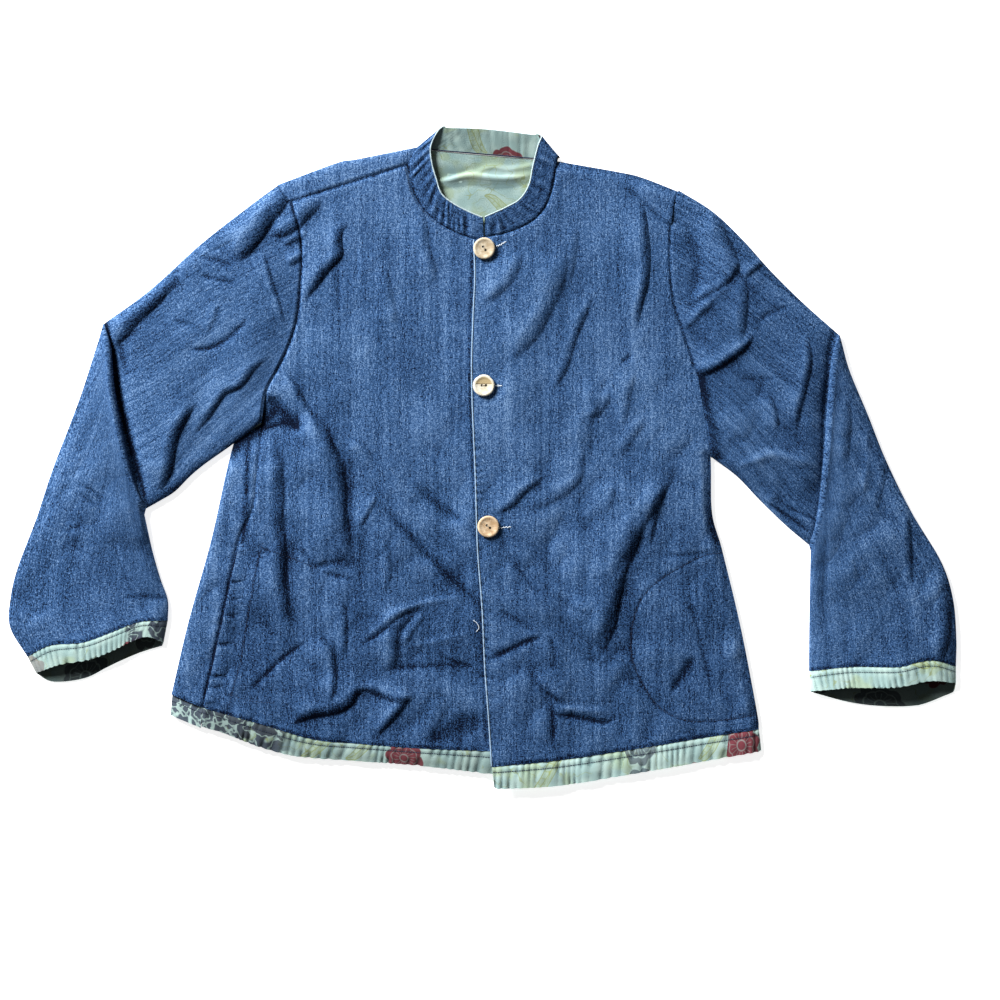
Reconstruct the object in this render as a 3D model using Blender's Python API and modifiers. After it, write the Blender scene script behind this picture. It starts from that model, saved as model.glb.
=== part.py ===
"""Reversible band-collar jacket, buttoned and laid flat on a floor, face up.

The back lies on the floor and the two fronts on it. +Y runs from hem to collar, +X to the wearer's left.
Sizes and tables are in millimetres. MM turns them into metres as each mesh is made.
"""

import math

import bmesh
import bpy
from mathutils import Vector

MM = 0.001

# Driving sizes
CLOTH = 1.6  # denim and print sewn together as one wall
LINING = 1.0  # print cotton, or a single turned strip, where it lies on that wall
SEAM_GAP = 0.3
SHOULDER_GAP = 0.9  # along the slope where the shoulder strip leaves the floor
CUFF_GAP = 0.45
LAID_GAP = 0.4  # between a wall and a thin piece made from its points
FLOOR_LAYER = CLOTH / 2  # middle of a wall that lies on the floor
FRONT_REST = 5.6  # middle of a wall that lies on the back, between folds
LAP_RISE = 2.3  # the left front passes this far over the right one
LAP_REACH = 70.0
PLACKET_HALF = 40.0  # the buttoned strip stays flat this far from the front edge
EDGE_ROUND = 12.0  # the left front rolls down to the back over this width
BACK_HEM_BAND = 22.0
BACK_INSET = 2.0
COLLAR_LIFT = 3.5  # a collar's free edge stands this far above its seam
PUCKER = 0.9  # height of one gather in a band
CREASE_RISE = 6.5  # the forearm's folded edge above the upper arm
CREASE_FALL = 55.0
CREASE_STEP = 5.0
CREASE_TUCK = 4.0
CREASE_OVERHANG = 8.0
CUFF_RISE = 4.0
BUTTON_RADIUS = 12.0
BUTTON_HEIGHT = 3.2
BUTTON_HOLE_RADIUS = 1.1
BUTTON_HOLE_SPACING = 4.4
WELT_INSET = 0.08  # share of the first column that the welt leaves free beside the seam
ARMPIT_SHIFT = {"right": (-1, 1), "left": (1, 1)}  # keeps the sleeve's lowest corner off the body

# How finely the cloth is divided
FRONT_COLUMNS = 18
SIDE_ROWS = 14
ARMHOLE_ROWS = 11
LEFT_SIDE_ROWS = 17
LEFT_ARMHOLE_ROWS = 9
NECK_ROWS = 9
SHOULDER_COLUMNS = 6
BACK_NECK_COLUMNS = 8
LINING_ROWS = 4
UPPER_ARM_ROWS = 7
FOREARM_ROWS = 9
BAND_SPLIT = 3
WELT_ROWS = (1, 8)  # the front's rows that the welt runs along
ROLLED_ROWS = 14  # the left side's rows below the armpit
SMOOTH_STEPS = 12
FOLD_ANGLES = (-90, -30, 30, 90)

# Outlines, each point (x, y). "right" and "left" are the wearer's.
RIGHT_FOLD_EDGE = [(-342, -261), (-323, -180), (-299, -94), (-282, -18), (-274.5, 13)]
RIGHT_SIDE_SEAM = [(-308, -275), (-297, -222), (-285, -168), (-269, -94), (-253, -57), (-248, -18), (-243, 37)]
STRIP_END = (-245, 33)  # the turned strip meets the sleeve here
RIGHT_ARMHOLE = [
    (-243, 37), (-238, 72), (-227, 93), (-213, 123), (-204, 153), (-199, 205), (-200, 246), (-210, 281),
]
RIGHT_SHOULDER_SEAM = [(-210, 281), (-150, 301), (-84, 322)]
RIGHT_SHOULDER_EDGE = [(-223, 300), (-160, 324), (-138, 328), (-76, 340.5)]
RIGHT_HEM = [(-308, -275), (-248, -292), (-186, -310), (-135, -315), (-69, -320), (7, -323), (38, -324)]
RIGHT_FRONT_EDGE = [(38, -324), (26, -100), (20, 100), (21, 240)]
RIGHT_NECK = [(1, 240), (-9, 240.5), (-31, 248), (-51, 260), (-67, 276), (-76, 291), (-80, 307), (-84, 322)]
LEFT_FRONT_EDGE = [
    (10.5, -340), (7, -285), (3, -232), (0, -166), (-5, -100), (-7.5, -20), (-11.5, 85), (-10, 153), (-8, 200),
    (-9.5, 239.5),
]
LEFT_NECK = [(3, 242.5), (26, 246.6), (49, 256), (66, 270), (75, 288), (79.5, 307), (82.5, 326)]
LEFT_HEM = [(10.5, -340), (91, -332), (171, -320), (251, -307), (304, -299)]
LEFT_SIDE = [(304, -299), (302, -280), (283, -186), (262, -101), (252.5, -60), (251, 0), (245, 37), (237, 90)]
LEFT_ARMHOLE = [(237, 90), (224.5, 125), (212, 163), (205.5, 216), (209, 272), (214.5, 293)]
LEFT_SHOULDER = [(214.5, 293), (176, 308), (151, 314), (82.5, 326)]
BACK_NECK = [(-70, 338), (-59, 338.5), (-20, 335), (26, 331), (58, 328.5), (80, 326)]
BACK_HEM = [
    (-339, -258), (-308, -271), (-248, -288), (-186, -306), (-135, -311), (-69, -316), (7, -321), (91, -327),
    (171, -316), (251, -303), (302, -295),
]
RIGHT_BAND_EDGE = [
    (-309, -296), (-284, -303), (-243, -319), (-201, -329), (-135, -334), (-69, -339), (8, -348), (38, -350),
]
LEFT_BAND_EDGE = [(13, -363), (25, -364), (91, -360), (171, -347), (251, -333), (307, -323)]
RIGHT_COLLAR_EDGE = [(0.5, 263.5), (-14, 269.5), (-32, 279), (-45, 290), (-51, 307), (-56, 324), (-57.5, 341)]
LEFT_COLLAR_EDGE = [(2.5, 264), (26, 274.5), (41, 283.5), (50.5, 297.5), (54.5, 316), (58.5, 332)]
BACK_COLLAR_EDGE = [(-40, 362.5), (-5, 361.5), (26, 358.5), (58, 354.5)]
LINING_LOW = [(-95, 200), (95, 200)]

# A collar's turn from front to back: seam point, free-edge point and how much of the front's height it keeps
COLLAR_TURNS = {
    "right": [((-76.5, 334), (-50, 357), 1.0), ((-71.5, 342.5), (-43, 364), 0.5)],
    "left": [((66, 331), (61, 355.5), 0.1), ((84, 334), (66, 354), 0.5), ((82.5, 329.5), (62, 344), 1.0)],
}

SLEEVES = {
    "right": {
        "outer_upper": [(-224, 300.5), (-256, 277), (-311, 234), (-366, 184), (-417, 147)],
        "outer_fore": [
            (-419.5, 139), (-424, 124), (-444, 63), (-473, -13), (-491, -67), (-512, -122), (-520, -157),
            (-520, -187), (-501, -219),
        ],
        "inner_upper": [(-243.6, 40), (-275, 17), (-305, -14), (-327, -36), (-355, -47), (-371, -56)],
        "inner_fore": [(-373, -63), (-364, -103), (-355, -134), (-347, -157), (-347, -179)],
        "crease": [(-417, 147), (-409, 122), (-404.5, 72), (-394, 17), (-382.5, -29), (-371, -56)],
        "cuff_front": [(-501, -219), (-475, -206.5), (-438, -203), (-406, -191.5), (-378, -181), (-347, -179)],
        "cuff_back": [(-501, -219), (-472, -226), (-438, -219), (-392, -196), (-347, -179)],
        "band_front": [(-492, -239), (-438, -224), (-401, -212), (-352, -203)],
        "band_back": [(-492, -239), (-473, -248), (-438, -240), (-392, -217), (-352, -203)],
    },
    "left": {
        "outer_upper": [(215.5, 294), (252, 269), (283, 239), (315, 203.5), (353, 168), (392.5, 135)],
        "outer_fore": [
            (395, 127), (404, 95), (424, 47), (444, -3), (472, -60), (505, -115), (518, -156), (521.5, -199),
            (521, -230),
        ],
        "inner_upper": [(251.8, 1), (277.5, -17), (308, -42), (341, -75), (360, -96)],
        "inner_fore": [(362, -103), (361, -148), (360, -211), (360, -235)],
        "crease": [(392.5, 135), (383.5, 100), (376, 2), (368.5, -65), (360, -96)],
        "cuff_front": [(521, -230), (497, -223), (477, -225), (454, -230), (404, -230), (360, -235)],
        "cuff_back": [(521, -230), (505, -243), (480, -252), (442, -253), (404, -248), (360, -235)],
        "band_front": [(521, -249), (492, -245.5), (454, -252), (404, -253), (361, -258)],
        "band_back": [(521, -249), (505, -262), (480, -273), (442, -274), (404, -269.5), (361, -258)],
    },
}

# The largest folds of the top layer, each a soft ridge: (from x, from y, to x, to y, half width, height)
FOLDS = [
    (-195, 180, -143, 255, 13, 6),
    (-168, 275, -186, 240, 14, 4),
    (-196, 10, -184, -92, 14, 8),
    (-242, -80, -212, -170, 16, 6),
    (-150, -20, -140, -120, 18, 5),
    (-92, -48, -48, -105, 15, 7),
    (-205, -285, -137, -256, 13, 7),
    (-140, -190, -88, -240, 15, 6),
    (-75, -170, -50, -205, 13, 5),
    (-256, -250, -196, -200, 13, 5),
    (188, -45, 146, -125, 16, 8),
    (146, -125, 118, -215, 16, 7),
    (60, -45, 106, -12, 14, 5),
    (70, -262, 142, -284, 13, 6),
    (200, -150, 225, -230, 18, 5),
    (120, 200, 112, 80, 26, 4),
    (-110, 215, -100, 90, 26, 4),
    (-270, 225, -228, 270, 15, 6),
    (-300, 45, -238, 108, 13, 6),
    (-402, 120, -345, 175, 14, 5),
    (-350, 5, -328, 40, 14, 5),
    (-470, -60, -440, -130, 24, 4),
    (240, 128, 285, 160, 15, 7),
    (285, 160, 300, 205, 13, 6),
    (262, 60, 320, 30, 16, 5),
    (300, -20, 350, -45, 15, 5),
    (430, 20, 452, -120, 26, 4),
]

# Each button: its place and the way its two holes run, in radians
BUTTONS = {
    "button_top": ((2, 229.5), 2.2),
    "button_middle": ((1.5, 79), 0.0),
    "button_bottom": ((6.5, -76), 2.5),
}

COLOURS = {
    "denim": (0.058, 0.135, 0.30),
    "print_cotton": (0.42, 0.55, 0.52),
    "coconut_shell": (0.60, 0.44, 0.27),
}
ROUGHNESS = {"denim": 0.85, "print_cotton": 0.8, "coconut_shell": 0.4}


# Lines and patches


def smooth_line(points, count):
    """count even steps along a smooth curve through the given points."""
    knots = [Vector(p) for p in points]
    knots = [2 * knots[0] - knots[1], *knots, 2 * knots[-1] - knots[-2]]
    fine = []
    for before, start, end, after in zip(knots, knots[1:], knots[2:], knots[3:]):
        for step in range(SMOOTH_STEPS):
            t = step / SMOOTH_STEPS
            second = 2 * before - 5 * start + 4 * end - after
            third = 3 * (start - end) + after - before
            fine.append(start + 0.5 * ((end - before) * t + second * t**2 + third * t**3))
    fine.append(knots[-2])
    return even_steps(fine, count)


def even_steps(line, count):
    """The same line cut into count pieces of equal length."""
    reach = [0.0]
    for a, b in zip(line, line[1:]):
        reach.append(reach[-1] + (b - a).length)
    made = []
    place = 0
    for i in range(count + 1):
        wanted = reach[-1] * i / count
        while place < len(line) - 2 and reach[place + 1] < wanted:
            place += 1
        share = (wanted - reach[place]) / (reach[place + 1] - reach[place])
        made.append(line[place].lerp(line[place + 1], share))
    return made


def split_line(line, parts):
    """Each step of a line cut into equal parts, so that it keeps the same straight runs."""
    made = [a.lerp(b, k / parts) for a, b in zip(line, line[1:]) for k in range(parts)]
    return [*made, line[-1]]


def beside(line, distance):
    """A line moved sideways, to the left of the way it runs."""
    made = []
    for i, point in enumerate(line):
        along = (line[min(i + 1, len(line) - 1)] - line[max(i - 1, 0)]).normalized()
        made.append(point + distance * Vector((-along.y, along.x)))
    return made


def patch(bottom, top, left, right):
    """Rows of points filling four border lines. Bottom and top run left to right, left and right run up."""
    columns = len(bottom) - 1
    rows = len(left) - 1
    made = []
    for j in range(rows + 1):
        v = j / rows
        row = []
        for i in range(columns + 1):
            u = i / columns
            corners = bottom[0].lerp(bottom[-1], u).lerp(top[0].lerp(top[-1], u), v)
            row.append(bottom[i].lerp(top[i], v) + left[j].lerp(right[j], u) - corners)
        made.append(row)
    return made


def smooth_step(value):
    t = min(1.0, max(0.0, value))
    return t * t * (3 - 2 * t)


def distance_to(line, point):
    """Shortest distance from a point to a line of straight runs."""
    best = math.inf
    for a, b in zip(line, line[1:]):
        run = b - a
        share = min(1.0, max(0.0, (point - a).dot(run) / run.length_squared))
        best = min(best, (point - a - share * run).length)
    return best


# Heights of the cloth


def top_height(point):
    """Middle of the top layer's wall: its rest height and the folds, flattened along the buttons."""
    cubes = 0.0
    for x0, y0, x1, y1, half_width, height in FOLDS:
        gap = distance_to([Vector((x0, y0)), Vector((x1, y1))], point)
        cubes += (height * math.exp(-((gap / half_width) ** 2))) ** 3
    flat = smooth_step(abs(point.x - PLACKET_HALF / 4) / PLACKET_HALF - 1)
    return FRONT_REST + cubes ** (1 / 3) * flat


def left_front_height(point, rolled_edges):
    """The left front passes over the right one at the buttons and rolls down to the back along rolled_edges."""
    height = top_height(point) + LAP_RISE * (1 - smooth_step((point.x - PLACKET_HALF) / LAP_REACH))
    low = FLOOR_LAYER + CLOTH + SEAM_GAP
    gap = min(distance_to(edge, point) for edge in rolled_edges)
    return low + (height - low) * smooth_step(gap / EDGE_ROUND)


def raised(row, height):
    return [Vector((p.x, p.y, height(p))) for p in row]


def fold_over(edge, toward, low, high):
    """Points of a wall that turns over at edge from height low to height high, toward being the way back in."""
    radius = (high - low) / 2
    middle = edge + toward * (radius + CLOTH / 2)
    made = []
    for angle in FOLD_ANGLES:
        place = middle - toward * radius * math.cos(math.radians(angle))
        made.append(Vector((place.x, place.y, low + radius + radius * math.sin(math.radians(angle)))))
    return made


# Meshes


def make_material(name):
    material = bpy.data.materials.new(name)
    material.use_nodes = True
    shader = material.node_tree.nodes["Principled BSDF"]
    shader.inputs["Base Color"].default_value = (*COLOURS[name], 1.0)
    shader.inputs["Roughness"].default_value = ROUGHNESS[name]
    shader.inputs["Metallic"].default_value = 0.0
    return material


def add_rows(mesh, rows, ring):
    """Quads between neighbouring rows of points. A ring row joins its last point to its first."""
    made = [[mesh.verts.new(p * MM) for p in row] for row in rows]
    for low, high in zip(made, made[1:]):
        count = len(low)
        for i in range(count if ring else count - 1):
            k = (i + 1) % count
            mesh.faces.new((low[i], low[k], high[k], high[i]))


def cloth(name, patches, material, thickness=CLOTH, ring=False):
    """One cloth piece: an open surface through patches of rows, with a wall of the given thickness."""
    mesh = bmesh.new()
    for rows in patches:
        add_rows(mesh, rows, ring)
    bmesh.ops.remove_doubles(mesh, verts=mesh.verts, dist=1e-6)
    bmesh.ops.recalc_face_normals(mesh, faces=mesh.faces)
    data = bpy.data.meshes.new(name)
    mesh.to_mesh(data)
    mesh.free()
    data.shade_smooth()
    piece = bpy.data.objects.new(name, data)
    data.materials.append(material)
    wall = piece.modifiers.new("wall", "SOLIDIFY")
    wall.thickness = thickness * MM
    wall.offset = 0.0
    wall.use_even_offset = True
    wall.use_quality_normals = True
    place(piece)
    return piece


def place(piece):
    bpy.data.collections["jacket"].objects.link(piece)
    piece.parent = bpy.data.objects["jacket_frame"]


# Body


def body_lines():
    """The border lines that neighbouring pieces share."""
    lines = {
        "right_fold": smooth_line(RIGHT_FOLD_EDGE, SIDE_ROWS),
        "right_seam": smooth_line(RIGHT_SIDE_SEAM, SIDE_ROWS),
        "right_armhole": smooth_line(RIGHT_ARMHOLE, ARMHOLE_ROWS),
        "right_shoulder": smooth_line(RIGHT_SHOULDER_SEAM, FRONT_COLUMNS),
        "right_hem": smooth_line(RIGHT_HEM, FRONT_COLUMNS),
        "right_neck": smooth_line(RIGHT_NECK, NECK_ROWS),
        "left_side": smooth_line(LEFT_SIDE, LEFT_SIDE_ROWS),
        "left_armhole": smooth_line(LEFT_ARMHOLE, LEFT_ARMHOLE_ROWS),
        "left_shoulder": smooth_line(LEFT_SHOULDER, FRONT_COLUMNS),
        "left_hem": smooth_line(LEFT_HEM, FRONT_COLUMNS),
        "left_neck": smooth_line(LEFT_NECK, NECK_ROWS),
        "back_neck": smooth_line(BACK_NECK, BACK_NECK_COLUMNS),
    }
    left_rolled = [lines["left_side"][: ROLLED_ROWS], lines["left_shoulder"]]
    lines["left_height"] = lambda p: left_front_height(p, left_rolled)
    return lines


def right_front_rows(lines):
    border = lines["right_seam"] + lines["right_armhole"][1:]
    edge_rows = len(border) - 1 - NECK_ROWS - 1
    front_edge = smooth_line(RIGHT_FRONT_EDGE, edge_rows) + lines["right_neck"]
    rows = patch(lines["right_hem"], lines["right_shoulder"], border, front_edge)
    return [raised(row, top_height) for row in rows]


def left_front_rows(lines):
    border = lines["left_side"] + lines["left_armhole"][1:]
    edge_rows = len(border) - 1 - NECK_ROWS - 1
    front_edge = smooth_line(LEFT_FRONT_EDGE, edge_rows) + lines["left_neck"]
    shoulder = lines["left_shoulder"][::-1]
    rows = patch(lines["left_hem"], shoulder, front_edge, border)
    return [raised(row, lines["left_height"]) for row in rows]


def turned_strip(edge, seam):
    """Rows of the strip that turns over a silhouette edge and runs on top to its seam."""
    rows = []
    for outside, inside in zip(edge, seam):
        toward = (inside - outside).normalized()
        turn = fold_over(outside, toward, FLOOR_LAYER, top_height(inside))
        flat = [turn[-1].xy.lerp(inside, k / 2) for k in (1, 2)]
        rows.append(turn + [Vector((p.x, p.y, top_height(inside))) for p in flat])
    return rows


def back_patches(lines):
    """The back on the floor with its strip turned up over the right side, and its shoulder strip.

    The shoulder strip is a piece of its own, parted from the back where it leaves the floor.
    """
    seam_line = [p - Vector((SEAM_GAP, 0)) for p in lines["right_seam"]]
    side_strip = turned_strip(lines["right_fold"], seam_line[:-1] + [Vector(STRIP_END)])
    shoulder_edge = smooth_line(RIGHT_SHOULDER_EDGE, SHOULDER_COLUMNS)
    shoulder_seam = even_steps(lines["right_shoulder"], SHOULDER_COLUMNS)
    shoulder_seam = [p + Vector((-SEAM_GAP, SEAM_GAP)) for p in shoulder_seam]
    shoulder_strip = turned_strip(shoulder_edge, shoulder_seam)
    on_floor = [row[0].xy for row in side_strip]
    right = on_floor + lines["right_armhole"] + [shoulder_strip[0][0].xy]
    left_side = beside(lines["left_side"], BACK_INSET)
    left = left_side[:-1] + lines["left_armhole"]
    left = even_rows_like(left, len(right) - 1)
    bottom = smooth_line(BACK_HEM, 2 * SHOULDER_COLUMNS + BACK_NECK_COLUMNS + 2)
    bottom[0], bottom[-1] = right[0], left[0]
    left_shoulder = even_steps(lines["left_shoulder"][::-1], SHOULDER_COLUMNS)
    top = [row[0].xy for row in shoulder_strip] + lines["back_neck"] + left_shoulder
    top[-1] = left[-1]
    rows = patch(bottom, top, right, left)
    floor = [raised(row, lambda p: FLOOR_LAYER) for row in rows]
    parted = [[row[0] + (row[1] - row[0]).normalized() * SHOULDER_GAP, *row[1:]] for row in shoulder_strip]
    return [floor, side_strip], [parted]


def even_rows_like(line, count):
    """A border with the armhole's own points kept and the side below it cut to leave count steps in all."""
    armhole = line[-(LEFT_ARMHOLE_ROWS + 1) :]
    side = line[: -LEFT_ARMHOLE_ROWS]
    return even_steps(side, count - LEFT_ARMHOLE_ROWS)[:-1] + armhole


def hem_band(rows, lower_edge, gathers_from=-math.inf, gathers_to=math.inf):
    """A band under a front's hem row, gathered by its stitching between two places along X."""
    top = [p - Vector((0, SEAM_GAP, 0)) for p in split_line(rows[0], BAND_SPLIT)]
    low = smooth_line(lower_edge, len(top) - 1)
    made = [[], [], []]
    for i, (above, below) in enumerate(zip(top, low)):
        gathered = PUCKER * (i % 2) * (gathers_from < above.x < gathers_to)
        for row, share, puckers in zip(made, (0.0, 0.3, 1.0), (0.0, 0.5, 1.0)):
            flat = above.xy.lerp(below, share)
            row.append(Vector((flat.x, flat.y, above.z + gathered * puckers)))
    return made


def back_hem_band(back_rows, strip_rows):
    """The band under the back's hem, turned up over the right side with the back."""
    line = strip_rows[0][::-1] + back_rows[0][1:]
    drop = Vector((-BACK_INSET, -BACK_HEM_BAND, 0))
    return [[p + Vector((0, -SEAM_GAP, 0)) for p in line], [p + drop for p in line]]


# Sleeves


def sleeve_rings(side, armhole):
    """Rings from armhole to cuff. The forearm is folded at the elbow and lies over the end of the upper arm."""
    lines = SLEEVES[side]
    columns = len(armhole) - 1
    crease = smooth_line(lines["crease"], columns)
    outer_upper = smooth_line(lines["outer_upper"], UPPER_ARM_ROWS)
    inner_upper = smooth_line(lines["inner_upper"], UPPER_ARM_ROWS)
    outer_upper[0], inner_upper[0] = armhole[0], armhole[-1]
    upper = patch(armhole, crease, outer_upper, inner_upper)
    outer_fore = smooth_line(lines["outer_fore"], FOREARM_ROWS)
    inner_fore = smooth_line(lines["inner_fore"], FOREARM_ROWS)
    forearm_side = 1 if side == "left" else -1
    crest = beside(crease, forearm_side * CREASE_STEP)
    crest[0], crest[-1] = outer_fore[0], inner_fore[0]
    fore_top = patch(crest, smooth_line(lines["cuff_front"], columns), outer_fore, inner_fore)
    fore_floor = patch(crest, smooth_line(lines["cuff_back"], columns), outer_fore, inner_fore)
    bow = [math.sin(math.pi * i / columns) for i in range(columns + 1)]
    ahead = [p - q for p, q in zip(beside(crease, forearm_side), crease)]
    tucked = [p + a * CREASE_TUCK * b for p, a, b in zip(upper[-1], ahead, bow)]
    overhung = [p - a * CREASE_OVERHANG * b for p, a, b in zip(fore_top[0], ahead, bow)]
    tops = upper[:-1] + [tucked, overhung] + fore_top[1:]
    floors = upper + fore_floor
    rings = []
    for k, (top, floor) in enumerate(zip(tops, floors)):
        past = k - UPPER_ARM_ROWS - 1
        rings.append(sleeve_ring(top, floor, bow, forearm_rise(past, outer_fore)))
    return rings


def forearm_rise(past, edge):
    """How far the forearm's top stands above the rest height: high at its fold and at the open cuff."""
    if past < 0:
        return 0.0
    walked = (edge[past] - edge[0]).length
    left_to_go = (edge[-1] - edge[past]).length
    return CREASE_RISE * math.exp(-walked / CREASE_FALL) + CUFF_RISE * math.exp(-left_to_go / CREASE_FALL)


def sleeve_ring(top, floor, bow, rise):
    """One ring: turned outer edge, top wall, turned inner edge, and the wall on the floor."""
    heights = [top_height(p) + rise * b for p, b in zip(top, bow)]
    outer = fold_over(floor[0], (floor[1] - floor[0]).normalized(), FLOOR_LAYER, FRONT_REST)
    inner = fold_over(floor[-1], (floor[-2] - floor[-1]).normalized(), FLOOR_LAYER, FRONT_REST)
    above = [Vector((p.x, p.y, z)) for p, z in zip(top[1:-1], heights[1:-1])]
    below = [Vector((p.x, p.y, FLOOR_LAYER)) for p in floor[-2:0:-1]]
    return outer + above + inner[::-1] + below


def cuff_band(side, last_ring):
    """A gathered band that carries the sleeve's last ring on to the band's own edge."""
    count = (len(last_ring) - 2 * len(FOLD_ANGLES)) // 2
    turn = len(FOLD_ANGLES)
    front = smooth_line(SLEEVES[side]["band_front"], count + 1)
    back = smooth_line(SLEEVES[side]["band_back"], count + 1)
    floor_turns = last_ring[:turn], last_ring[turn + count : 2 * turn + count]
    outer = fold_over(front[0], (front[1] - front[0]).normalized(), FLOOR_LAYER, floor_turns[0][-1].z)
    inner = fold_over(front[-1], (front[-2] - front[-1]).normalized(), FLOOR_LAYER, floor_turns[1][0].z)
    heights = [p.z for p in last_ring[turn : turn + count]]
    above = [Vector((p.x, p.y, z)) for p, z in zip(front[1:-1], heights)]
    below = [Vector((p.x, p.y, FLOOR_LAYER)) for p in back[-2:0:-1]]
    end_ring = outer + above + inner[::-1] + below
    first = split_line(last_ring + [last_ring[0]], 2)[:-1]
    last = split_line(end_ring + [end_ring[0]], 2)[:-1]
    made = [[], [], []]
    for i, (start, end) in enumerate(zip(first, last)):
        on_top = min(start.z, end.z) > FRONT_REST - SEAM_GAP
        start_gap = (end - start).normalized() * CUFF_GAP
        for row, share in zip(made, (0.0, 0.35, 1.0)):
            point = (start + start_gap).lerp(end, share)
            point.z += PUCKER * share * (i % 2) * on_top
            row.append(point)
    return made


# Collar


def collar_rows(lines):
    """Pairs of seam and free-edge lines, from the right front round the back to the left front."""
    right_seam = beside(lines["right_neck"], -SEAM_GAP)
    right_edge = smooth_line(RIGHT_COLLAR_EDGE, NECK_ROWS)
    left_seam = beside(lines["left_neck"], SEAM_GAP)
    left_edge = smooth_line(LEFT_COLLAR_EDGE, NECK_ROWS)
    back_seam = [p + Vector((0, 2 * SEAM_GAP)) for p in lines["back_neck"][1:-2]]
    back_edge = smooth_line(BACK_COLLAR_EDGE, len(back_seam) - 1)
    pairs = [(a, b, 1.0) for a, b in zip(right_seam, right_edge)]
    pairs += [(Vector(a), Vector(b), keep) for a, b, keep in COLLAR_TURNS["right"]]
    pairs += [(a, b, 0.0) for a, b in zip(back_seam, back_edge)]
    pairs += [(Vector(a), Vector(b), keep) for a, b, keep in COLLAR_TURNS["left"]]
    pairs += [(a, b, 1.0) for a, b in zip(left_seam[::-1], left_edge[::-1])]
    split = [pairs[0]]
    for (a, b, keep), (c, d, next_keep) in zip(pairs, pairs[1:]):
        split.append((a.lerp(c, 0.5), b.lerp(d, 0.5), (keep + next_keep) / 2))
        split.append((c, d, next_keep))
    half = len(split) // 2
    heights = [top_height] * half + [lines["left_height"]] * (len(split) - half)
    return [collar_row(i, *pair, height) for i, (pair, height) in enumerate(zip(split, heights))]


def collar_row(index, seam, edge, keep, height):
    """Points from seam to free edge. Every second row is gathered up in the middle."""
    base = FLOOR_LAYER + keep * (max(FRONT_REST, height(seam)) - FLOOR_LAYER)
    row = []
    for share in (0.0, 1 / 3, 2 / 3, 1.0):
        flat = seam.lerp(edge, share)
        gather = PUCKER * (index % 2) * math.sin(math.pi * share) * (keep in (0.0, 1.0))
        row.append(Vector((flat.x, flat.y, base + COLLAR_LIFT * share + gather)))
    return row


def collar_lining_rows(rows):
    """The collar's own back points, moved out to lie on its inner face."""
    lift = Vector((0, 0, CLOTH / 2 + LAID_GAP + LINING / 2))
    low = FLOOR_LAYER + SEAM_GAP
    return [[p + lift for p in row] for row in rows if row[0].z < low][1:-1]


def back_lining_rows(lines):
    low_right, low_left = (Vector(point) for point in LINING_LOW)
    top = [p - Vector((0, SEAM_GAP * 2)) for p in lines["back_neck"][1:-1]]
    count = len(top) - 1
    bottom = even_steps([low_right, low_left], count)
    right = even_steps([low_right, top[0]], LINING_ROWS)
    left = even_steps([low_left, top[-1]], LINING_ROWS)
    lift = FLOOR_LAYER + CLOTH / 2 + SEAM_GAP + LINING / 2
    return [raised(row, lambda p: lift) for row in patch(bottom, top, right, left)]


# Pocket and buttons


def pocket_welt_rows(front_rows):
    """The turned strip beside the right side seam: the front's own points, moved out."""
    lift = Vector((0, 0, CLOTH / 2 + LAID_GAP + LINING / 2))
    first, last = WELT_ROWS
    made = []
    for row in front_rows[first : last + 1]:
        start = row[0].lerp(row[1], WELT_INSET)
        made.append([start + lift, row[1] + lift])
    return made


def button_profile():
    """Half section of a dished button, top to bottom on its outer side: (radius, height)."""
    rim = BUTTON_RADIUS - 0.7
    return [
        (0.0, BUTTON_HEIGHT - 0.9),
        (7.0, BUTTON_HEIGHT - 0.7),
        (9.2, BUTTON_HEIGHT),
        (rim, BUTTON_HEIGHT - 0.2),
        (BUTTON_RADIUS, BUTTON_HEIGHT * 0.55),
        (rim, 0.4),
        (8.5, 0.0),
        (0.0, 0.0),
    ]


def hole_cutter(button, angle, side):
    reach = side * BUTTON_HOLE_SPACING / 2
    bpy.ops.mesh.primitive_cylinder_add(
        vertices=10,
        radius=BUTTON_HOLE_RADIUS * MM,
        depth=4 * BUTTON_HEIGHT * MM,
        location=button.location + Vector((math.cos(angle), math.sin(angle), 0)) * reach * MM,
    )
    cutter = bpy.context.object
    cutter.name = f"{button.name}_hole_{'a' if side < 0 else 'b'}"
    for collection in cutter.users_collection:
        collection.objects.unlink(cutter)
    bpy.data.collections["cutters"].objects.link(cutter)
    cutter.hide_render = True
    cutter.display_type = "WIRE"
    return cutter


def make_button(name, spot, hole_angle, height, material):
    """A turned two-hole button that rests on the left front."""
    profile = bmesh.new()
    verts = [profile.verts.new((r * MM, 0, z * MM)) for r, z in button_profile()]
    for a, b in zip(verts, verts[1:]):
        profile.edges.new((a, b))
    data = bpy.data.meshes.new(name)
    profile.to_mesh(data)
    profile.free()
    data.materials.append(material)
    button = bpy.data.objects.new(name, data)
    centre = Vector(spot)
    around = [centre + Vector((math.cos(a), math.sin(a))) * BUTTON_RADIUS * 0.9 for a in range(6)]
    seat = max(height(p) for p in [centre, *around]) + CLOTH / 2 + SEAM_GAP
    button.location = Vector((centre.x, centre.y, seat)) * MM
    place(button)
    turn = button.modifiers.new("turn", "SCREW")
    turn.steps = turn.render_steps = 22
    turn.use_merge_vertices = True
    turn.merge_threshold = 0.00005
    for side in (-1, 1):
        cut = button.modifiers.new("hole", "BOOLEAN")
        cut.object = hole_cutter(button, hole_angle, side)
        cut.operation = "DIFFERENCE"
    return button


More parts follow.
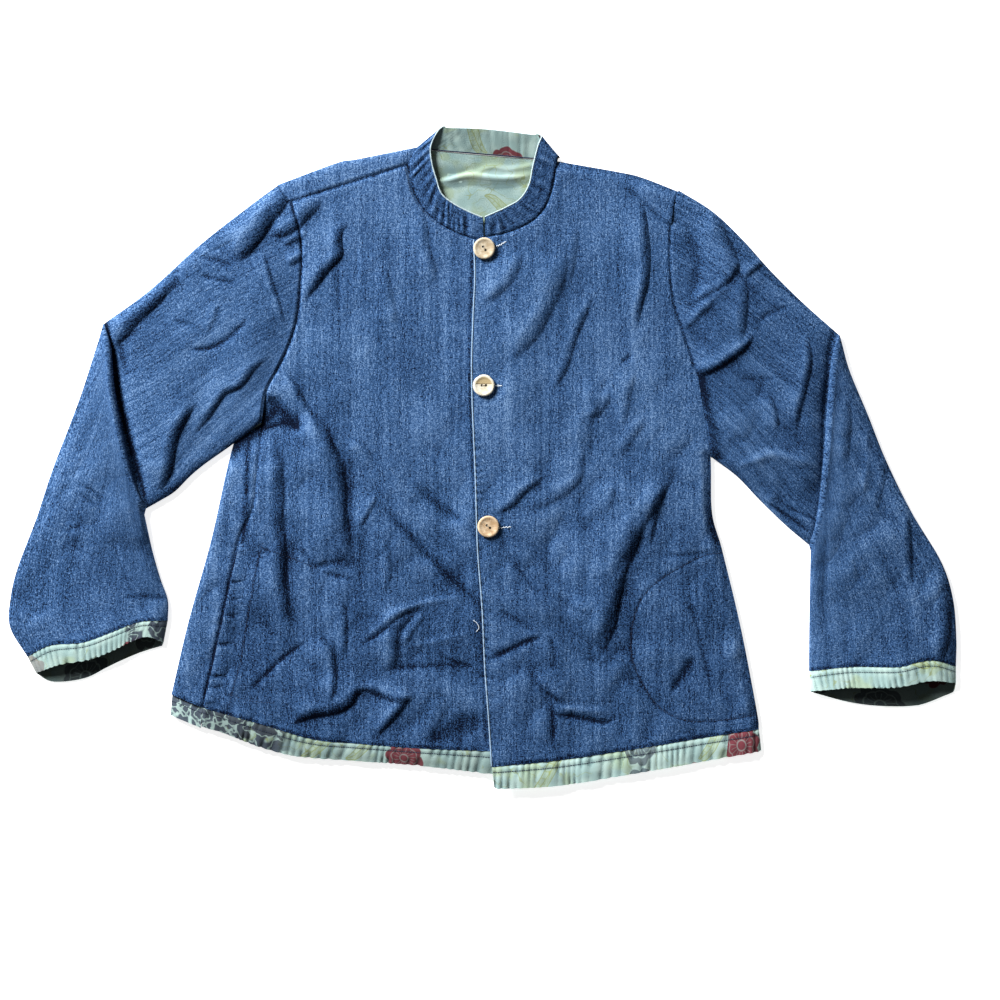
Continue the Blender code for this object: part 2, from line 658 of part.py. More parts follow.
def main():
    for old in list(bpy.data.objects):
        bpy.data.objects.remove(old, do_unlink=True)
    for name in ("jacket", "cutters"):
        collection = bpy.data.collections.new(name)
        bpy.context.scene.collection.children.link(collection)
    frame = bpy.data.objects.new("jacket_frame", None)
    bpy.data.collections["jacket"].objects.link(frame)
    denim, cotton, shell = (make_material(name) for name in COLOURS)

    lines = body_lines()
    right_rows = right_front_rows(lines)
    left_rows = left_front_rows(lines)
    back, back_shoulder = back_patches(lines)
    cloth("back", back, denim)
    cloth("back_shoulder", back_shoulder, denim)
    cloth("right_front", [right_rows], denim)
    cloth("left_front", [left_rows], denim)
    cloth("back_hem_band", [back_hem_band(back[0], back[1])], cotton)
    cloth("right_hem_band", [hem_band(right_rows, RIGHT_BAND_EDGE, gathers_to=0)], cotton)
    cloth("left_hem_band", [hem_band(left_rows, LEFT_BAND_EDGE)], cotton)
    cloth("back_lining", [back_lining_rows(lines)], cotton, LINING)
    cloth("pocket_welt", [pocket_welt_rows(right_rows)], denim, LINING)

    collar = collar_rows(lines)
    cloth("collar", [collar], denim)
    cloth("collar_lining", [collar_lining_rows(collar)], cotton, LINING)

    right_hole = [Vector(SLEEVES["right"]["outer_upper"][0])] + beside(lines["right_armhole"], SEAM_GAP)[::-1]
    left_border = lines["left_side"][ROLLED_ROWS - 1 :] + lines["left_armhole"][1:]
    left_hole = beside(left_border, -SEAM_GAP)[::-1]
    for side, armhole in (("right", right_hole), ("left", left_hole)):
        armhole[-1] += Vector(ARMPIT_SHIFT[side])
        rings = sleeve_rings(side, armhole)
        cloth(f"{side}_sleeve", [rings], denim, ring=True)
        cloth(f"{side}_cuff_band", [cuff_band(side, rings[-1])], cotton, ring=True)

    for name, (spot, hole_angle) in BUTTONS.items():
        make_button(name, spot, hole_angle, lines["left_height"], shell)


main()
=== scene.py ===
"""Looks of the reversible band-collar jacket laid flat: cloth shells with creases, sewing, buttons and light.

Lengths are in millimetres until MM turns them into metres as each mesh is made. +Y runs from hem to collar
and +X to the wearer's left, and "right" and "left" are the wearer's. Creases and sewing were read off the
photograph, so their tables hold its pixels, which on_jacket() turns into millimetres.
"""

import math

import bpy
import numpy as np
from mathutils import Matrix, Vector


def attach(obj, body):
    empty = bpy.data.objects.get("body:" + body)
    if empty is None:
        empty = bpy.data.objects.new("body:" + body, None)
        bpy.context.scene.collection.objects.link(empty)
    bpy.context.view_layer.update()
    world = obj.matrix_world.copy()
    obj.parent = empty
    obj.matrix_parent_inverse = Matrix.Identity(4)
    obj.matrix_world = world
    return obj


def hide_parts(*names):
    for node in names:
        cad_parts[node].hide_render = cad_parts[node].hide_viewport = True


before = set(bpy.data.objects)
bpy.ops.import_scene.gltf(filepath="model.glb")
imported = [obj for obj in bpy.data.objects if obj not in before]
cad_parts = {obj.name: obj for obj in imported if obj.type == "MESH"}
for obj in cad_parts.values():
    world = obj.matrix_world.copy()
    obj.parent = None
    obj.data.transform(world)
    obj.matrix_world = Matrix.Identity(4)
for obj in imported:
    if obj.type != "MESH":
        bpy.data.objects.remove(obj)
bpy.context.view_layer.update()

MM = 0.001
PIXEL = 1.1  # millimetres of jacket in one pixel of the photograph
PHOTO_ORIGIN = (482.5, 457.5)  # the pixel over the frame's origin
LIGHT_FROM = (-0.68, 0.73)  # the way to the light across the floor

# Thicknesses and layers, as heights of the middle of a wall
SHELL = 1.4
THIN_SHELL = 0.9
FLOOR_REST = 0.8
TURN_HEIGHT = 2.7  # widest point of a turned edge
TOP_REST = 5.6
TOP_LEAST = 3.3  # the top layer never sinks lower
LAP_RISE = 2.3
LAP_START = 40.0
LAP_REACH = 70.0
EDGE_ROLL = 15.0  # a turned edge rounds down over this width
FLOOR_ROLL = 5.0
SIDE_ROLL = 12.0
BACK_INSET = 2.0
BUTTON_CALM = (12.0, 26.0)  # the cloth lies flat round a button, and moves freely past this
SEAM_DEPTH = 1.5
SEAM_WIDTH = 2.0
OVERHANG = 1.6  # denim passes over a print band by this much
OVERHANG_DROP = 1.3
BAND_STITCH = 0.32  # share of a band above its row of stitches
HEM_PITCH = 9.0
CUFF_PITCH = 6.5
CUFF_SEED = {"right": 71, "left": 81}
GATHER_SLANT = 4.0
GATHER_HEIGHT = 1.0
COLLAR_LIFT = 3.4
COLLAR_RIB = 1.0
COLLAR_PITCH = 11.0
SLEEVE_LOFT = 3.0
PLEAT_FALL = 50.0
CUFF_LIFT = 4.0
CUFF_FALL = 45.0

# How finely the cloth is divided
SMOOTH_STEPS = 16
FRONT_COLUMNS = 208
SIDE_ROWS = 240
ARMHOLE_ROWS = 160
NECK_ROWS = 145
NECK_CORNER_ROWS = 10
STRIP_COLUMNS = 22
SLEEVE_COLUMNS = 150
SLEEVE_FLOOR_COLUMNS = 20
UPPER_ARM_ROWS = 180
FOREARM_ROWS = 190
INSIDE_STEP = 4  # the hidden inside of a cloth has one row for this many outside
BAND_ROWS = 14
STITCH_ROW = round(BAND_STITCH * (BAND_ROWS - 1))
BAND_STEP = 0.9
COLLAR_ROWS = 12
COLLAR_SPLIT = 14

# How far each cloth's grain is moved along, so that neighbours don't share their flecks
LEFT_FRONT_GRAIN = (1000.0, 0.0)
STRIP_GRAIN = (2000.0, 0.0)
BACK_GRAIN = (3000.0, 0.0)
SLEEVE_GRAIN = (4000.0, 0.0)
COLLAR_GRAIN = (6000.0, 0.0)

# Outlines in millimetres, each point (x, y)
RIGHT_FOLD_EDGE = [(-342, -261), (-323, -180), (-299, -94), (-282, -18), (-274.5, 13)]
RIGHT_SIDE_SEAM = [
    (-308, -275), (-297, -222), (-285, -168), (-269, -94), (-253, -57), (-248, -18), (-243, 37),
]
STRIP_REACH = np.array([2.0, 6.0])  # the side strip runs on under the sleeve by this much
RIGHT_ARMHOLE = [
    (-243, 37), (-238, 72), (-227, 93), (-213, 123), (-204, 153), (-199, 205), (-200, 246), (-210, 281),
]
RIGHT_SHOULDER_SEAM = [(-210, 281), (-150, 301), (-84, 322)]
RIGHT_SHOULDER_EDGE = [(-226, 299.5), (-160, 324), (-138, 328), (-76, 340.5)]
RIGHT_HEM = [(-308, -275), (-248, -292), (-186, -310), (-135, -315), (-69, -320), (7, -323), (38, -324)]
RIGHT_FRONT_EDGE = [(38, -324), (26, -100), (20, 100), (21, 240)]
RIGHT_NECK = [(1, 240), (-9, 240.5), (-31, 248), (-51, 260), (-67, 276), (-76, 291), (-80, 307), (-84, 322)]
LEFT_FRONT_EDGE = [
    (10.5, -340), (7, -285), (3, -232), (0, -166), (-5, -100), (-7.5, -20), (-11.5, 85), (-10, 153),
    (-8, 200), (-9.5, 239.5),
]
LEFT_NECK = [(3, 242.5), (26, 246.6), (49, 256), (66, 270), (75, 288), (79.5, 307), (82.5, 326)]
LEFT_HEM = [(10.5, -340), (91, -332), (171, -320), (251, -307), (304, -299)]
LEFT_SIDE = [
    (304, -299), (302, -280), (284, -186), (263.5, -101), (252.5, -60), (251, 0), (245, 37), (237, 90),
]
LEFT_SIDE_FREE = 0.77  # share of the left side below the sleeve
LEFT_ARMHOLE = [(237, 90), (224.5, 125), (212, 163), (205.5, 216), (209, 272), (214.5, 293)]
LEFT_SHOULDER = [(214.5, 293), (176, 308), (151, 314), (82.5, 326)]
BACK_NECK = [(-70, 338), (-59, 338.5), (-20, 335), (26, 331), (58, 328.5), (80, 326)]
BACK_HEM = [
    (-339, -258), (-308, -271), (-248, -288), (-186, -306), (-135, -311), (-69, -316), (7, -321),
    (91, -327), (171, -316), (251, -303), (302, -295),
]
BACK_BAND = 22.0
RIGHT_BAND_EDGE = [
    (-309, -296), (-284, -303), (-243, -319), (-201, -329), (-135, -334), (-69, -339), (8, -348), (38, -350),
]
LEFT_BAND_EDGE = [(13, -363), (25, -364), (91, -360), (171, -347), (251, -333), (307, -323)]
LINING_LOW = [(-95, 200), (95, 200)]

# Round the collar from the right front to the left one:
# (seam point, free-edge point, share of the front's height)
COLLAR_STATIONS = [
    ((1, 240), (0.5, 263.5), 1.0), ((-9, 240.5), (-14, 269.5), 1.0), ((-31, 248), (-32, 279), 1.0),
    ((-51, 260), (-45, 290), 1.0), ((-67, 276), (-51, 307), 1.0), ((-77, 297), (-55.5, 323), 1.0),
    ((-82, 320), (-57, 341), 1.0), ((-77, 334), (-50, 357), 0.9), ((-70, 342), (-43, 364), 0.4),
    ((-59, 339), (-38, 362.5), 0.0), ((-20, 335.6), (-5, 361.5), 0.0), ((26, 331.6), (26, 358.5), 0.0),
    ((56, 329.2), (54, 355), 0.0), ((68, 331), (60, 355.5), 0.1), ((84, 330), (65, 353), 0.55),
    ((82.5, 328), (61, 342), 1.0), ((79, 307), (55.5, 320), 1.0), ((75, 288), (51, 299), 1.0),
    ((66, 270), (41, 283.5), 1.0), ((49, 256), (26, 274.5), 1.0), ((26, 246.6), (13, 268.5), 1.0),
    ((3, 242.5), (2.5, 264), 1.0),
]
COLLAR_LINED = (9, 13)  # stations between which the print side shows

SLEEVES = {
    "right": {
        "outer_upper": [(-224, 300.5), (-256, 277), (-311, 234), (-366, 184), (-417, 147)],
        "outer_fore": [
            (-419.5, 139), (-424, 124), (-444, 63), (-473, -13), (-491, -67), (-512, -122), (-520, -157),
            (-520, -187), (-501, -219),
        ],
        "inner_upper": [
            (-243.6, 40), (-274, 16), (-305, -6), (-322, -20), (-339, -37), (-355, -47), (-371, -56),
        ],
        "inner_fore": [(-373, -63), (-364, -103), (-355, -134), (-347, -157), (-347, -179)],
        "crease": [(-417, 147), (-409, 122), (-404.5, 72), (-394, 17), (-382.5, -29), (-371, -56)],
        "cuff_front": [
            (-501, -219), (-475, -206.5), (-438, -203), (-406, -191.5), (-378, -181), (-347, -179),
        ],
        "cuff_back": [(-501, -219), (-472, -226), (-438, -219), (-392, -196), (-347, -179)],
        "band_front": [
            (-491, -238), (-465, -228), (-432, -222), (-408, -213), (-378, -199), (-364, -198), (-352, -205),
        ],
        "band_back": [(-491, -238), (-473, -247), (-438, -243), (-410, -229), (-378, -215), (-352, -207)],
        "forearm_side": -1,
        "pleat": 1.0,
    },
    "left": {
        "outer_upper": [(215.5, 294.5), (253, 271), (285, 241), (317, 205.5), (354, 169), (392.5, 135)],
        "outer_fore": [
            (395, 127), (404, 95), (424, 47), (444, -3), (472, -60), (505, -115), (518, -156), (521.5, -199),
            (521, -230),
        ],
        "inner_upper": [(251.8, 1), (280, -20), (301, -42), (316, -57), (336, -76), (360, -96)],
        "inner_fore": [(362, -103), (361, -148), (360, -211), (360, -235)],
        "crease": [(392.5, 135), (383.5, 100), (376, 2), (368.5, -65), (360, -96)],
        "cuff_front": [(521, -230), (497, -223), (477, -225), (454, -230), (404, -230), (360, -235)],
        "cuff_back": [(521, -230), (505, -243), (480, -252), (442, -253), (404, -248), (360, -235)],
        "band_front": [(521, -249), (492, -245.5), (454, -252), (404, -253), (361, -258)],
        "band_back": [
            (521, -249), (519, -258), (505, -264), (480, -273), (442, -274), (404, -269.5), (361, -258),
        ],
        "forearm_side": 1,
        "pleat": 0.55,
    },
}
CREST_STEP = 5.0
CREST_EASE = 0.14  # share of the elbow's crease over which its crest leaves the outline
ELBOW_DIP = 1.8
ARMPIT_LIFT = 2.5

# The elbow's pleat, from the upper arm round its two turns to the forearm:
# (way ahead, height above the crease)
ELBOW_PLEAT = [
    (4, -0.3), (7, 0.2), (8, 1.2), (7, 2.2), (4, 2.6), (1.5, 3.0), (0, 4.0), (-0.5, 5.3), (0.3, 6.7),
    (2, 7.6), (3.5, 8.0),
]

# Sewing and small things, as pixels
LEFT_POCKET_STITCH = [
    (723, 553), (705, 555.5), (677, 569), (650, 588), (636, 611), (631, 638), (633, 661), (643, 684),
    (659, 707), (684, 720), (712, 721), (735, 718.5), (757, 715),
]
RIGHT_POCKET_STITCH = [(262, 548), (284, 555), (320, 570)]
RIGHT_POCKET_FOOT = [(229, 694), (252, 701), (275, 703)]
WELT_EDGE = [(262, 542), (255, 570), (250, 600), (243, 640), (240, 660), (228, 705)]
WELT_RUNGS = [583, 600, 616, 645, 677, 688]  # rows of pixels
WELT_DEEP_RUNGS = (583, 645, 677)
BUTTONHOLES = [[(496, 247), (501, 245), (506, 242)], [(495, 386), (502, 386)], [(499, 528), (511, 527)]]
LOOSE_THREAD = [(473, 620), (477, 623), (479, 628), (476, 632)]

# Creases: (form, half width in mm, steepness, pixels along it). A "fall" drops away from the light with a
# sharp foot; valleys and ridges are even on both sides. Falls and valleys also paint shade into the cloth's
# colour in their folds; a "mark" line only paints shade, and a "pale" line only paints a highlight.
RIGHT_FRONT_CREASES = [
    ("fall", 5.5, 0.55, [(352, 220), (340, 230), (337, 242), (338, 255), (329, 265), (318, 279), (300, 305)]),
    ("valley", 2.0, 0.25, [(356, 240), (357, 262), (357, 286)]),
    ("valley", 2.4, 0.22, [(337, 268), (339, 295), (338, 322)]),
    ("fall", 4.5, 0.25, [(385, 265), (388, 290), (392, 310), (397, 332)]),
    ("fall", 5.0, 0.30, [(420, 200), (423, 225), (426, 248), (432, 268), (440, 288)]),
    ("fall", 4.5, 0.42, [(281, 366), (291, 383), (302, 402), (313, 422), (324, 446)]),
    ("fall", 11.0, 0.55, [(310, 408), (323, 438), (333, 468), (338, 502), (342, 535), (350, 572)]),
    ("fall", 8.0, 0.45, [(266, 420), (274, 452), (277, 490), (278, 535), (281, 580), (287, 615), (295, 650)]),
    ("valley", 8.0, 0.90, [(206, 468), (243, 439), (263, 425), (284, 396)]),
    ("valley", 7.0, 0.60, [(264, 392), (284, 416), (308, 436)]),
    ("mark", 5.5, 0.62, [(258, 423), (271, 411), (281, 411), (288, 418)]),
    ("mark", 14.0, 0.44, [(319, 432), (327, 455), (335, 495), (338, 530), (340, 575)]),
    ("mark", 3.8, 0.85, [(230, 447), (252, 434), (270, 426), (284, 423), (298, 425)]),
    ("mark", 18.0, 0.30, [(232, 462), (262, 452), (292, 444), (322, 452)]),
    ("mark", 9.0, 0.28, [(274, 450), (278, 480), (282, 530), (283, 580), (291, 630)]),
    ("mark", 11.0, 0.26, [(372, 484), (398, 520), (425, 550), (450, 574), (486, 612)]),
    ("mark", 4.2, 0.65, [(250, 425), (247, 455), (246, 490), (244, 535)]),
    ("mark", 1.6, 0.85, [(249, 430), (247, 470), (246, 505), (244, 536), (231, 574), (220.5, 627),
                         (202, 707)]),
    ("mark", 1.2, 0.55, [(286, 202), (330, 189.5), (370, 177), (412, 163)]),
    ("mark", 1.6, 0.50, [(262, 546), (256, 575), (251, 604), (244, 642), (241, 662), (229, 706)]),
    ("pale", 1.5, 0.32, [(264, 546), (258, 575), (253, 604), (246, 642), (243, 662), (232, 704)]),
    ("mark", 1.2, 0.45, RIGHT_POCKET_STITCH),
    ("valley", 2.6, 0.34, [(316, 567), (334, 563), (352, 557)]),
    ("valley", 2.6, 0.34, [(320, 573), (340, 576), (361, 583)]),
    ("valley", 4.5, 0.40, [(380, 500), (408, 534), (425, 552), (447, 574), (466, 592), (486, 610)]),
    ("valley", 5.0, 0.35, [(412, 482), (430, 497), (446, 511), (472, 524)]),
    ("ridge", 4.0, 0.35, [(358, 642), (378, 626), (396, 613), (425, 603), (470, 596)]),
    ("valley", 2.6, 0.50, [(358, 648), (381, 632), (399, 618), (424, 608)]),
    ("fall", 7.5, 0.40, [(414, 608), (399, 622), (393, 640), (391, 674)]),
    ("fall", 3.5, 0.35, [(426, 612), (412, 630), (402, 650)]),
    ("valley", 2.6, 0.32, [(374, 673), (400, 668), (436, 665), (478, 664)]),
    ("fall", 4.4, 0.38, [(342, 596), (344, 628), (342, 664)]),
    ("fall", 4.4, 0.48, [(316, 628), (330, 655), (333, 678), (328, 710)]),
    ("fall", 6.0, 0.65, [(286, 727), (308, 715), (330, 710), (346, 703), (356, 691), (376, 685)]),
    ("fall", 5.0, 0.60, [(358, 686), (380, 691), (396, 697), (416, 697)]),
    ("fall", 4.5, 0.60, [(413, 693), (400, 708), (388, 720), (373, 738)]),
    ("valley", 9.0, 0.35, [(424, 744), (455, 728), (490, 714)]),
    ("valley", 2.4, 0.50, [(246, 694), (267, 673), (285, 656), (311, 638)]),
    ("valley", 2.2, 0.45, [(437, 654), (460, 663), (480, 667)]),
    ("ridge", 3.0, 0.30, [(404, 647), (440, 640), (480, 631)]),
    ("fall", 3.5, 0.35, [(379, 492), (368, 512), (356, 532)]),
    ("fall", 3.5, 0.30, [(346, 436), (366, 452), (374, 474)]),
    ("fall", 4.0, 0.30, [(383, 536), (389, 570), (380, 604)]),
    ("valley", 3.0, 0.30, [(298, 542), (316, 566), (334, 554)]),
    ("mark", 1.6, 0.50, [(472, 240), (470.5, 310), (470, 360), (471, 430), (474, 500), (478, 560),
                         (486, 750)]),
    ("valley", 1.8, 0.12, [(331, 323), (420, 323), (500, 322)]),
    ("mark", 2.0, 0.55, [(170, 694), (205, 707), (257, 722), (313, 738), (360, 743), (420, 747), (489, 750)]),
]
LEFT_FRONT_CREASES = [
    ("fall", 11.0, 0.46, [(680, 458), (658, 490), (641, 516), (627, 545), (616, 575), (609, 606), (604, 634),
                          (590, 668)]),
    ("fall", 5.5, 0.40, [(666, 480), (655, 508), (648, 552)]),
    ("valley", 5.0, 0.55, [(717, 462), (717, 500), (714, 522), (720, 556)]),
    ("fall", 4.4, 0.45, [(490, 516), (512, 503), (524, 490), (548, 474)]),
    ("fall", 6.0, 0.28, [(525, 511), (548, 499), (566, 488), (578, 474), (583, 440)]),
    ("fall", 9.0, 0.22, [(603, 370), (590, 405), (585, 435), (587, 466)]),
    ("valley", 2.6, 0.60, [(484, 661), (505, 652), (522, 644), (545, 635)]),
    ("valley", 3.5, 0.30, [(497, 608), (520, 622), (541, 638)]),
    ("valley", 3.0, 0.20, [(500, 544), (522, 573), (548, 604)]),
    ("fall", 4.0, 0.25, [(538, 578), (560, 596), (580, 608), (602, 615)]),
    ("fall", 4.5, 0.45, [(530, 669), (548, 690), (573, 708)]),
    ("ridge", 3.0, 0.35, [(552, 707), (585, 710), (618, 711)]),
    ("valley", 3.0, 0.50, [(548, 713), (580, 718), (605, 722), (621, 714)]),
    ("valley", 3.2, 0.45, [(550, 700), (553, 724), (551, 752)]),
    ("valley", 3.0, 0.30, [(549, 632), (555, 655), (552, 676)]),
    ("valley", 5.0, 0.40, [(697, 654), (682, 676), (667, 698)]),
    ("valley", 2.2, 0.30, [(687, 574), (693, 612), (702, 648), (716, 706)]),
    ("valley", 3.0, 0.25, [(656, 555), (690, 555), (724, 549)]),
    ("fall", 4.0, 0.25, [(614, 482), (605, 516)]),
    ("fall", 5.0, 0.25, [(645, 416), (628, 440), (615, 459)]),
    ("fall", 5.5, 0.50, [(639, 190), (644, 228), (645, 260), (643, 288), (637, 312), (633, 342)]),
    ("fall", 5.0, 0.45, [(622, 178), (640, 194), (657, 210), (674, 221), (696, 212)]),
    ("fall", 7.0, 0.30, [(524, 250), (512, 272), (498, 290), (478, 303)]),
    ("fall", 9.0, 0.28, [(564, 232), (557, 280), (543, 308), (527, 338), (499, 368)]),
    ("fall", 4.6, 0.38, [(594, 290), (581, 318), (572, 342), (562, 372), (548, 396)]),
    ("valley", 2.5, 0.35, [(620, 364), (635, 353)]),
    ("mark", 12.0, 0.32, [(618, 180), (640, 190), (658, 203), (674, 218)]),
    ("mark", 70.0, 0.20, [(480, 225), (600, 255), (760, 230)]),
    ("fall", 5.0, 0.22, [(576, 220), (573, 255), (565, 295)]),
    ("fall", 5.5, 0.30, [(610, 389), (600, 408), (582, 420)]),
    ("fall", 4.5, 0.25, [(635, 368), (627, 395), (622, 434)]),
    ("mark", 1.6, 0.55, [(677, 190), (672, 210), (669, 240), (669.5, 270), (673, 303), (682, 331),
                         (696, 372)]),
    ("mark", 2.4, 0.60, [(492, 766), (565, 758), (638, 747), (711, 735), (762, 728)]),
    ("mark", 1.0, 0.50, LEFT_POCKET_STITCH),
]
SHOULDER_CREASES = [  # across the right armhole
    ("mark", 1.6, 0.85, [(289, 196), (293, 210), (299, 232), (301.5, 255), (301, 280), (297, 318), (287, 350),
                         (272, 380)]),
    ("mark", 8.0, 0.42, [(293, 232), (303, 217), (319, 200)]),
    ("fall", 7.0, 0.50, [(324, 198), (308, 212), (296, 224), (282, 232), (266, 235)]),
    ("fall", 3.5, 0.40, [(308, 233), (296, 238), (280, 246)]),
    ("fall", 4.5, 0.40, [(307, 253), (296, 259), (286, 266)]),
]
RIGHT_UPPER_ARM_CREASES = SHOULDER_CREASES + [
    ("fall", 11.0, 0.55, [(290, 189), (272, 210), (258, 231), (232, 261)]),
    ("fall", 3.0, 0.45, [(261, 246), (268, 272), (276, 297), (286, 328)]),
    ("valley", 2.2, 0.32, [(195, 274), (218, 280), (244, 284)]),
    ("valley", 2.4, 0.28, [(198, 255), (216, 260), (238, 267)]),
    ("valley", 2.2, 0.25, [(206, 253), (225, 246), (242, 239)]),
    ("fall", 7.5, 0.50, [(106, 352), (122, 334), (137, 316), (153, 301), (184, 271)]),
    ("valley", 2.2, 0.30, [(172, 319), (186, 324), (200, 325)]),
    ("fall", 3.0, 0.28, [(220, 301), (213, 320), (205, 339)]),
    ("valley", 2.6, 0.50, [(183, 351), (210, 348), (226, 340), (240, 328), (252, 315)]),
    ("fall", 4.2, 0.52, [(273, 353), (253, 368), (240, 385), (225, 392), (214, 406), (204, 421), (189, 440)]),
    ("fall", 6.2, 0.55, [(200, 395), (186, 413), (176, 431), (170, 450), (166, 472), (155, 500)]),
    ("mark", 8.0, 0.50, [(272, 418), (241, 440), (214, 463), (190, 481), (166, 497), (142, 510)]),
    ("mark", 9.0, 0.32, [(114, 342), (132, 324), (148, 309), (165, 292), (182, 276)]),
    ("valley", 4.0, 0.30, [(119, 336), (123, 358), (129, 384)]),
    ("valley", 4.0, 0.85, [(94, 290), (107, 328), (113, 358), (117, 388), (124, 418), (131, 444), (138, 472),
                           (155, 535)]),
]
RIGHT_FOREARM_CREASES = [
    ("valley", 2.2, 0.35, [(75, 481), (97, 494), (104, 510)]),
    ("valley", 2.2, 0.30, [(78, 492), (99, 508)]),
    ("valley", 2.2, 0.35, [(63, 532), (86, 524)]),
    ("valley", 5.0, 0.22, [(34, 578), (60, 568)]),
    ("valley", 5.0, 0.22, [(56, 592), (80, 585), (100, 584)]),
    ("valley", 4.0, 0.20, [(73, 598), (92, 588)]),
    ("valley", 5.0, 0.20, [(31, 614), (54, 601)]),
    ("valley", 2.2, 0.35, [(112, 536), (120, 560), (127, 580), (134, 602)]),
    ("valley", 4.0, 0.50, [(122, 597), (145, 596), (174, 600)]),
    ("valley", 30.0, 0.12, [(0, 602), (80, 592), (190, 604)]),
    ("mark", 45.0, 0.25, [(-30, 560), (80, 555), (220, 570)]),
    ("mark", 2.2, 0.60, [(22, 657), (51, 644), (84, 641), (113, 630.5), (139, 621), (172, 619)]),
]
LEFT_UPPER_ARM_CREASES = [
    ("mark", 14.0, 0.32, [(674, 205), (700, 222), (722, 250), (735, 275)]),
    ("mark", 60.0, 0.24, [(650, 150), (700, 260), (760, 380), (800, 470), (840, 560)]),
    ("mark", 1.6, 0.60, [(676, 192), (671.5, 210), (669.5, 240), (670, 270), (674, 303), (683, 331),
                         (697, 372)]),
    ("pale", 1.5, 0.35, [(675, 200), (672.5, 230), (672, 262), (675.5, 293), (681, 318), (690, 342),
                         (700, 368)]),
    ("valley", 8.0, 0.35, [(687, 218), (695, 250), (697, 275), (688, 312)]),
    ("fall", 4.0, 0.50, [(742, 258), (728, 279), (710, 291), (680, 309)]),
    ("ridge", 3.0, 0.40, [(735, 282), (712, 298), (687, 319)]),
    ("fall", 3.0, 0.45, [(717, 299), (700, 314), (679, 333)]),
    ("fall", 7.0, 0.40, [(708, 206), (722, 240), (732, 262), (738, 286)]),
    ("fall", 3.5, 0.45, [(767, 257), (754, 268), (740, 280)]),
    ("fall", 6.5, 0.38, [(742, 272), (742, 300), (741, 322), (738, 347)]),
    ("mark", 13.0, 0.30, [(749, 282), (756, 318), (746, 352)]),
    ("fall", 4.5, 0.85, [(756, 332), (741, 349), (724, 362), (706, 371), (688, 378)]),
    ("valley", 2.6, 0.35, [(754, 324), (772, 312), (795, 303)]),
    ("fall", 4.5, 0.42, [(805, 330), (808, 360), (803, 388), (796, 415), (793, 443)]),
    ("valley", 4.0, 0.45, [(841, 295), (832, 340), (828, 365), (826, 395), (822, 440)]),
    ("valley", 2.4, 0.42, [(829, 350), (824, 430), (821, 480), (814, 530), (800, 590)]),
    ("valley", 12.0, 0.25, [(768, 502), (800, 498), (832, 480)]),
    ("ridge", 5.0, 0.35, [(732, 469), (756, 459), (775, 455), (822, 467)]),
    ("valley", 2.6, 0.50, [(782, 503), (802, 513), (824, 524)]),
    ("valley", 2.8, 0.50, [(762, 499), (790, 518), (820, 539)]),
    ("valley", 2.2, 0.35, [(733, 380), (756, 379), (781, 377)]),
    ("valley", 2.0, 0.30, [(765, 377), (756, 403)]),
    ("fall", 3.5, 0.42, [(767, 391), (775, 415), (777, 436)]),
    ("fall", 4.0, 0.32, [(714, 412), (735, 432), (754, 444)]),
    ("mark", 7.0, 0.80, [(697, 366), (706, 405), (712, 432), (718, 462)]),
]
LEFT_FOREARM_CREASES = [
    ("fall", 5.0, 0.25, [(846, 390), (846, 430), (843, 475)]),
    ("ridge", 5.0, 0.20, [(866, 425), (866, 465), (859, 515)]),
    ("fall", 4.4, 0.25, [(889, 450), (880, 485), (872, 520)]),
    ("fall", 4.6, 0.38, [(906, 508), (908, 550), (910, 602)]),
    ("fall", 8.0, 0.42, [(944, 565), (944, 615), (936, 680)]),
    ("valley", 5.0, 0.20, [(826, 530), (824, 600), (828, 670)]),
    ("valley", 4.0, 0.20, [(845, 610), (846, 665)]),
    ("valley", 4.0, 0.20, [(883, 632), (892, 664)]),
    ("valley", 3.5, 0.20, [(853, 553), (861, 588)]),
    ("ridge", 9.0, 0.12, [(915, 575), (915, 650)]),
    ("mark", 2.2, 0.60, [(805, 670.5), (850, 665.5), (895, 665.5), (916, 661), (934, 659), (960, 666)]),
]
SLEEVE_CREASES = {  # upper arm, forearm
    "right": (RIGHT_UPPER_ARM_CREASES, RIGHT_FOREARM_CREASES),
    "left": (LEFT_UPPER_ARM_CREASES, LEFT_FOREARM_CREASES),
}
BODY_CREASES = RIGHT_FRONT_CREASES + SHOULDER_CREASES + LEFT_FRONT_CREASES
NECK_LINING_CREASES = [
    ("ridge", 3.0, 0.80, [(420, 184), (447, 179), (470, 175), (500, 178), (522, 176), (548, 170)]),
    ("ridge", 2.5, 0.60, [(468, 176), (490, 167), (512, 169), (550, 161)]),
    ("valley", 4.0, 0.40, [(410, 176), (450, 172), (480, 167)]),
    ("valley", 3.0, 0.40, [(430, 190), (470, 183), (500, 186), (545, 178)]),
    ("mark", 22.0, 0.35, [(380, 150), (430, 165), (480, 158), (600, 150)]),
]
CREASE_TAPER = 0.3
PAINTED_TAPER = 0.07
CREASE_POINT = 0.5  # width left at the tips of a crease
CREASE_TAIL = 4.5  # half widths over which a fall's high side sinks back, at most
CREASE_GAIN = 1.25  # all creases steepened alike
CREASE_LIMIT = 9.0
SHADE_START = 0.12  # creases less steep than this paint no shade
SHADE_GAIN = 1.7
SHADE_MOST = 1.35  # the darkest painted shade that one fold or mark line gets
SHADE_TONE = 3.3  # a full painted shade darkens the colour as much as a hollow of this depth
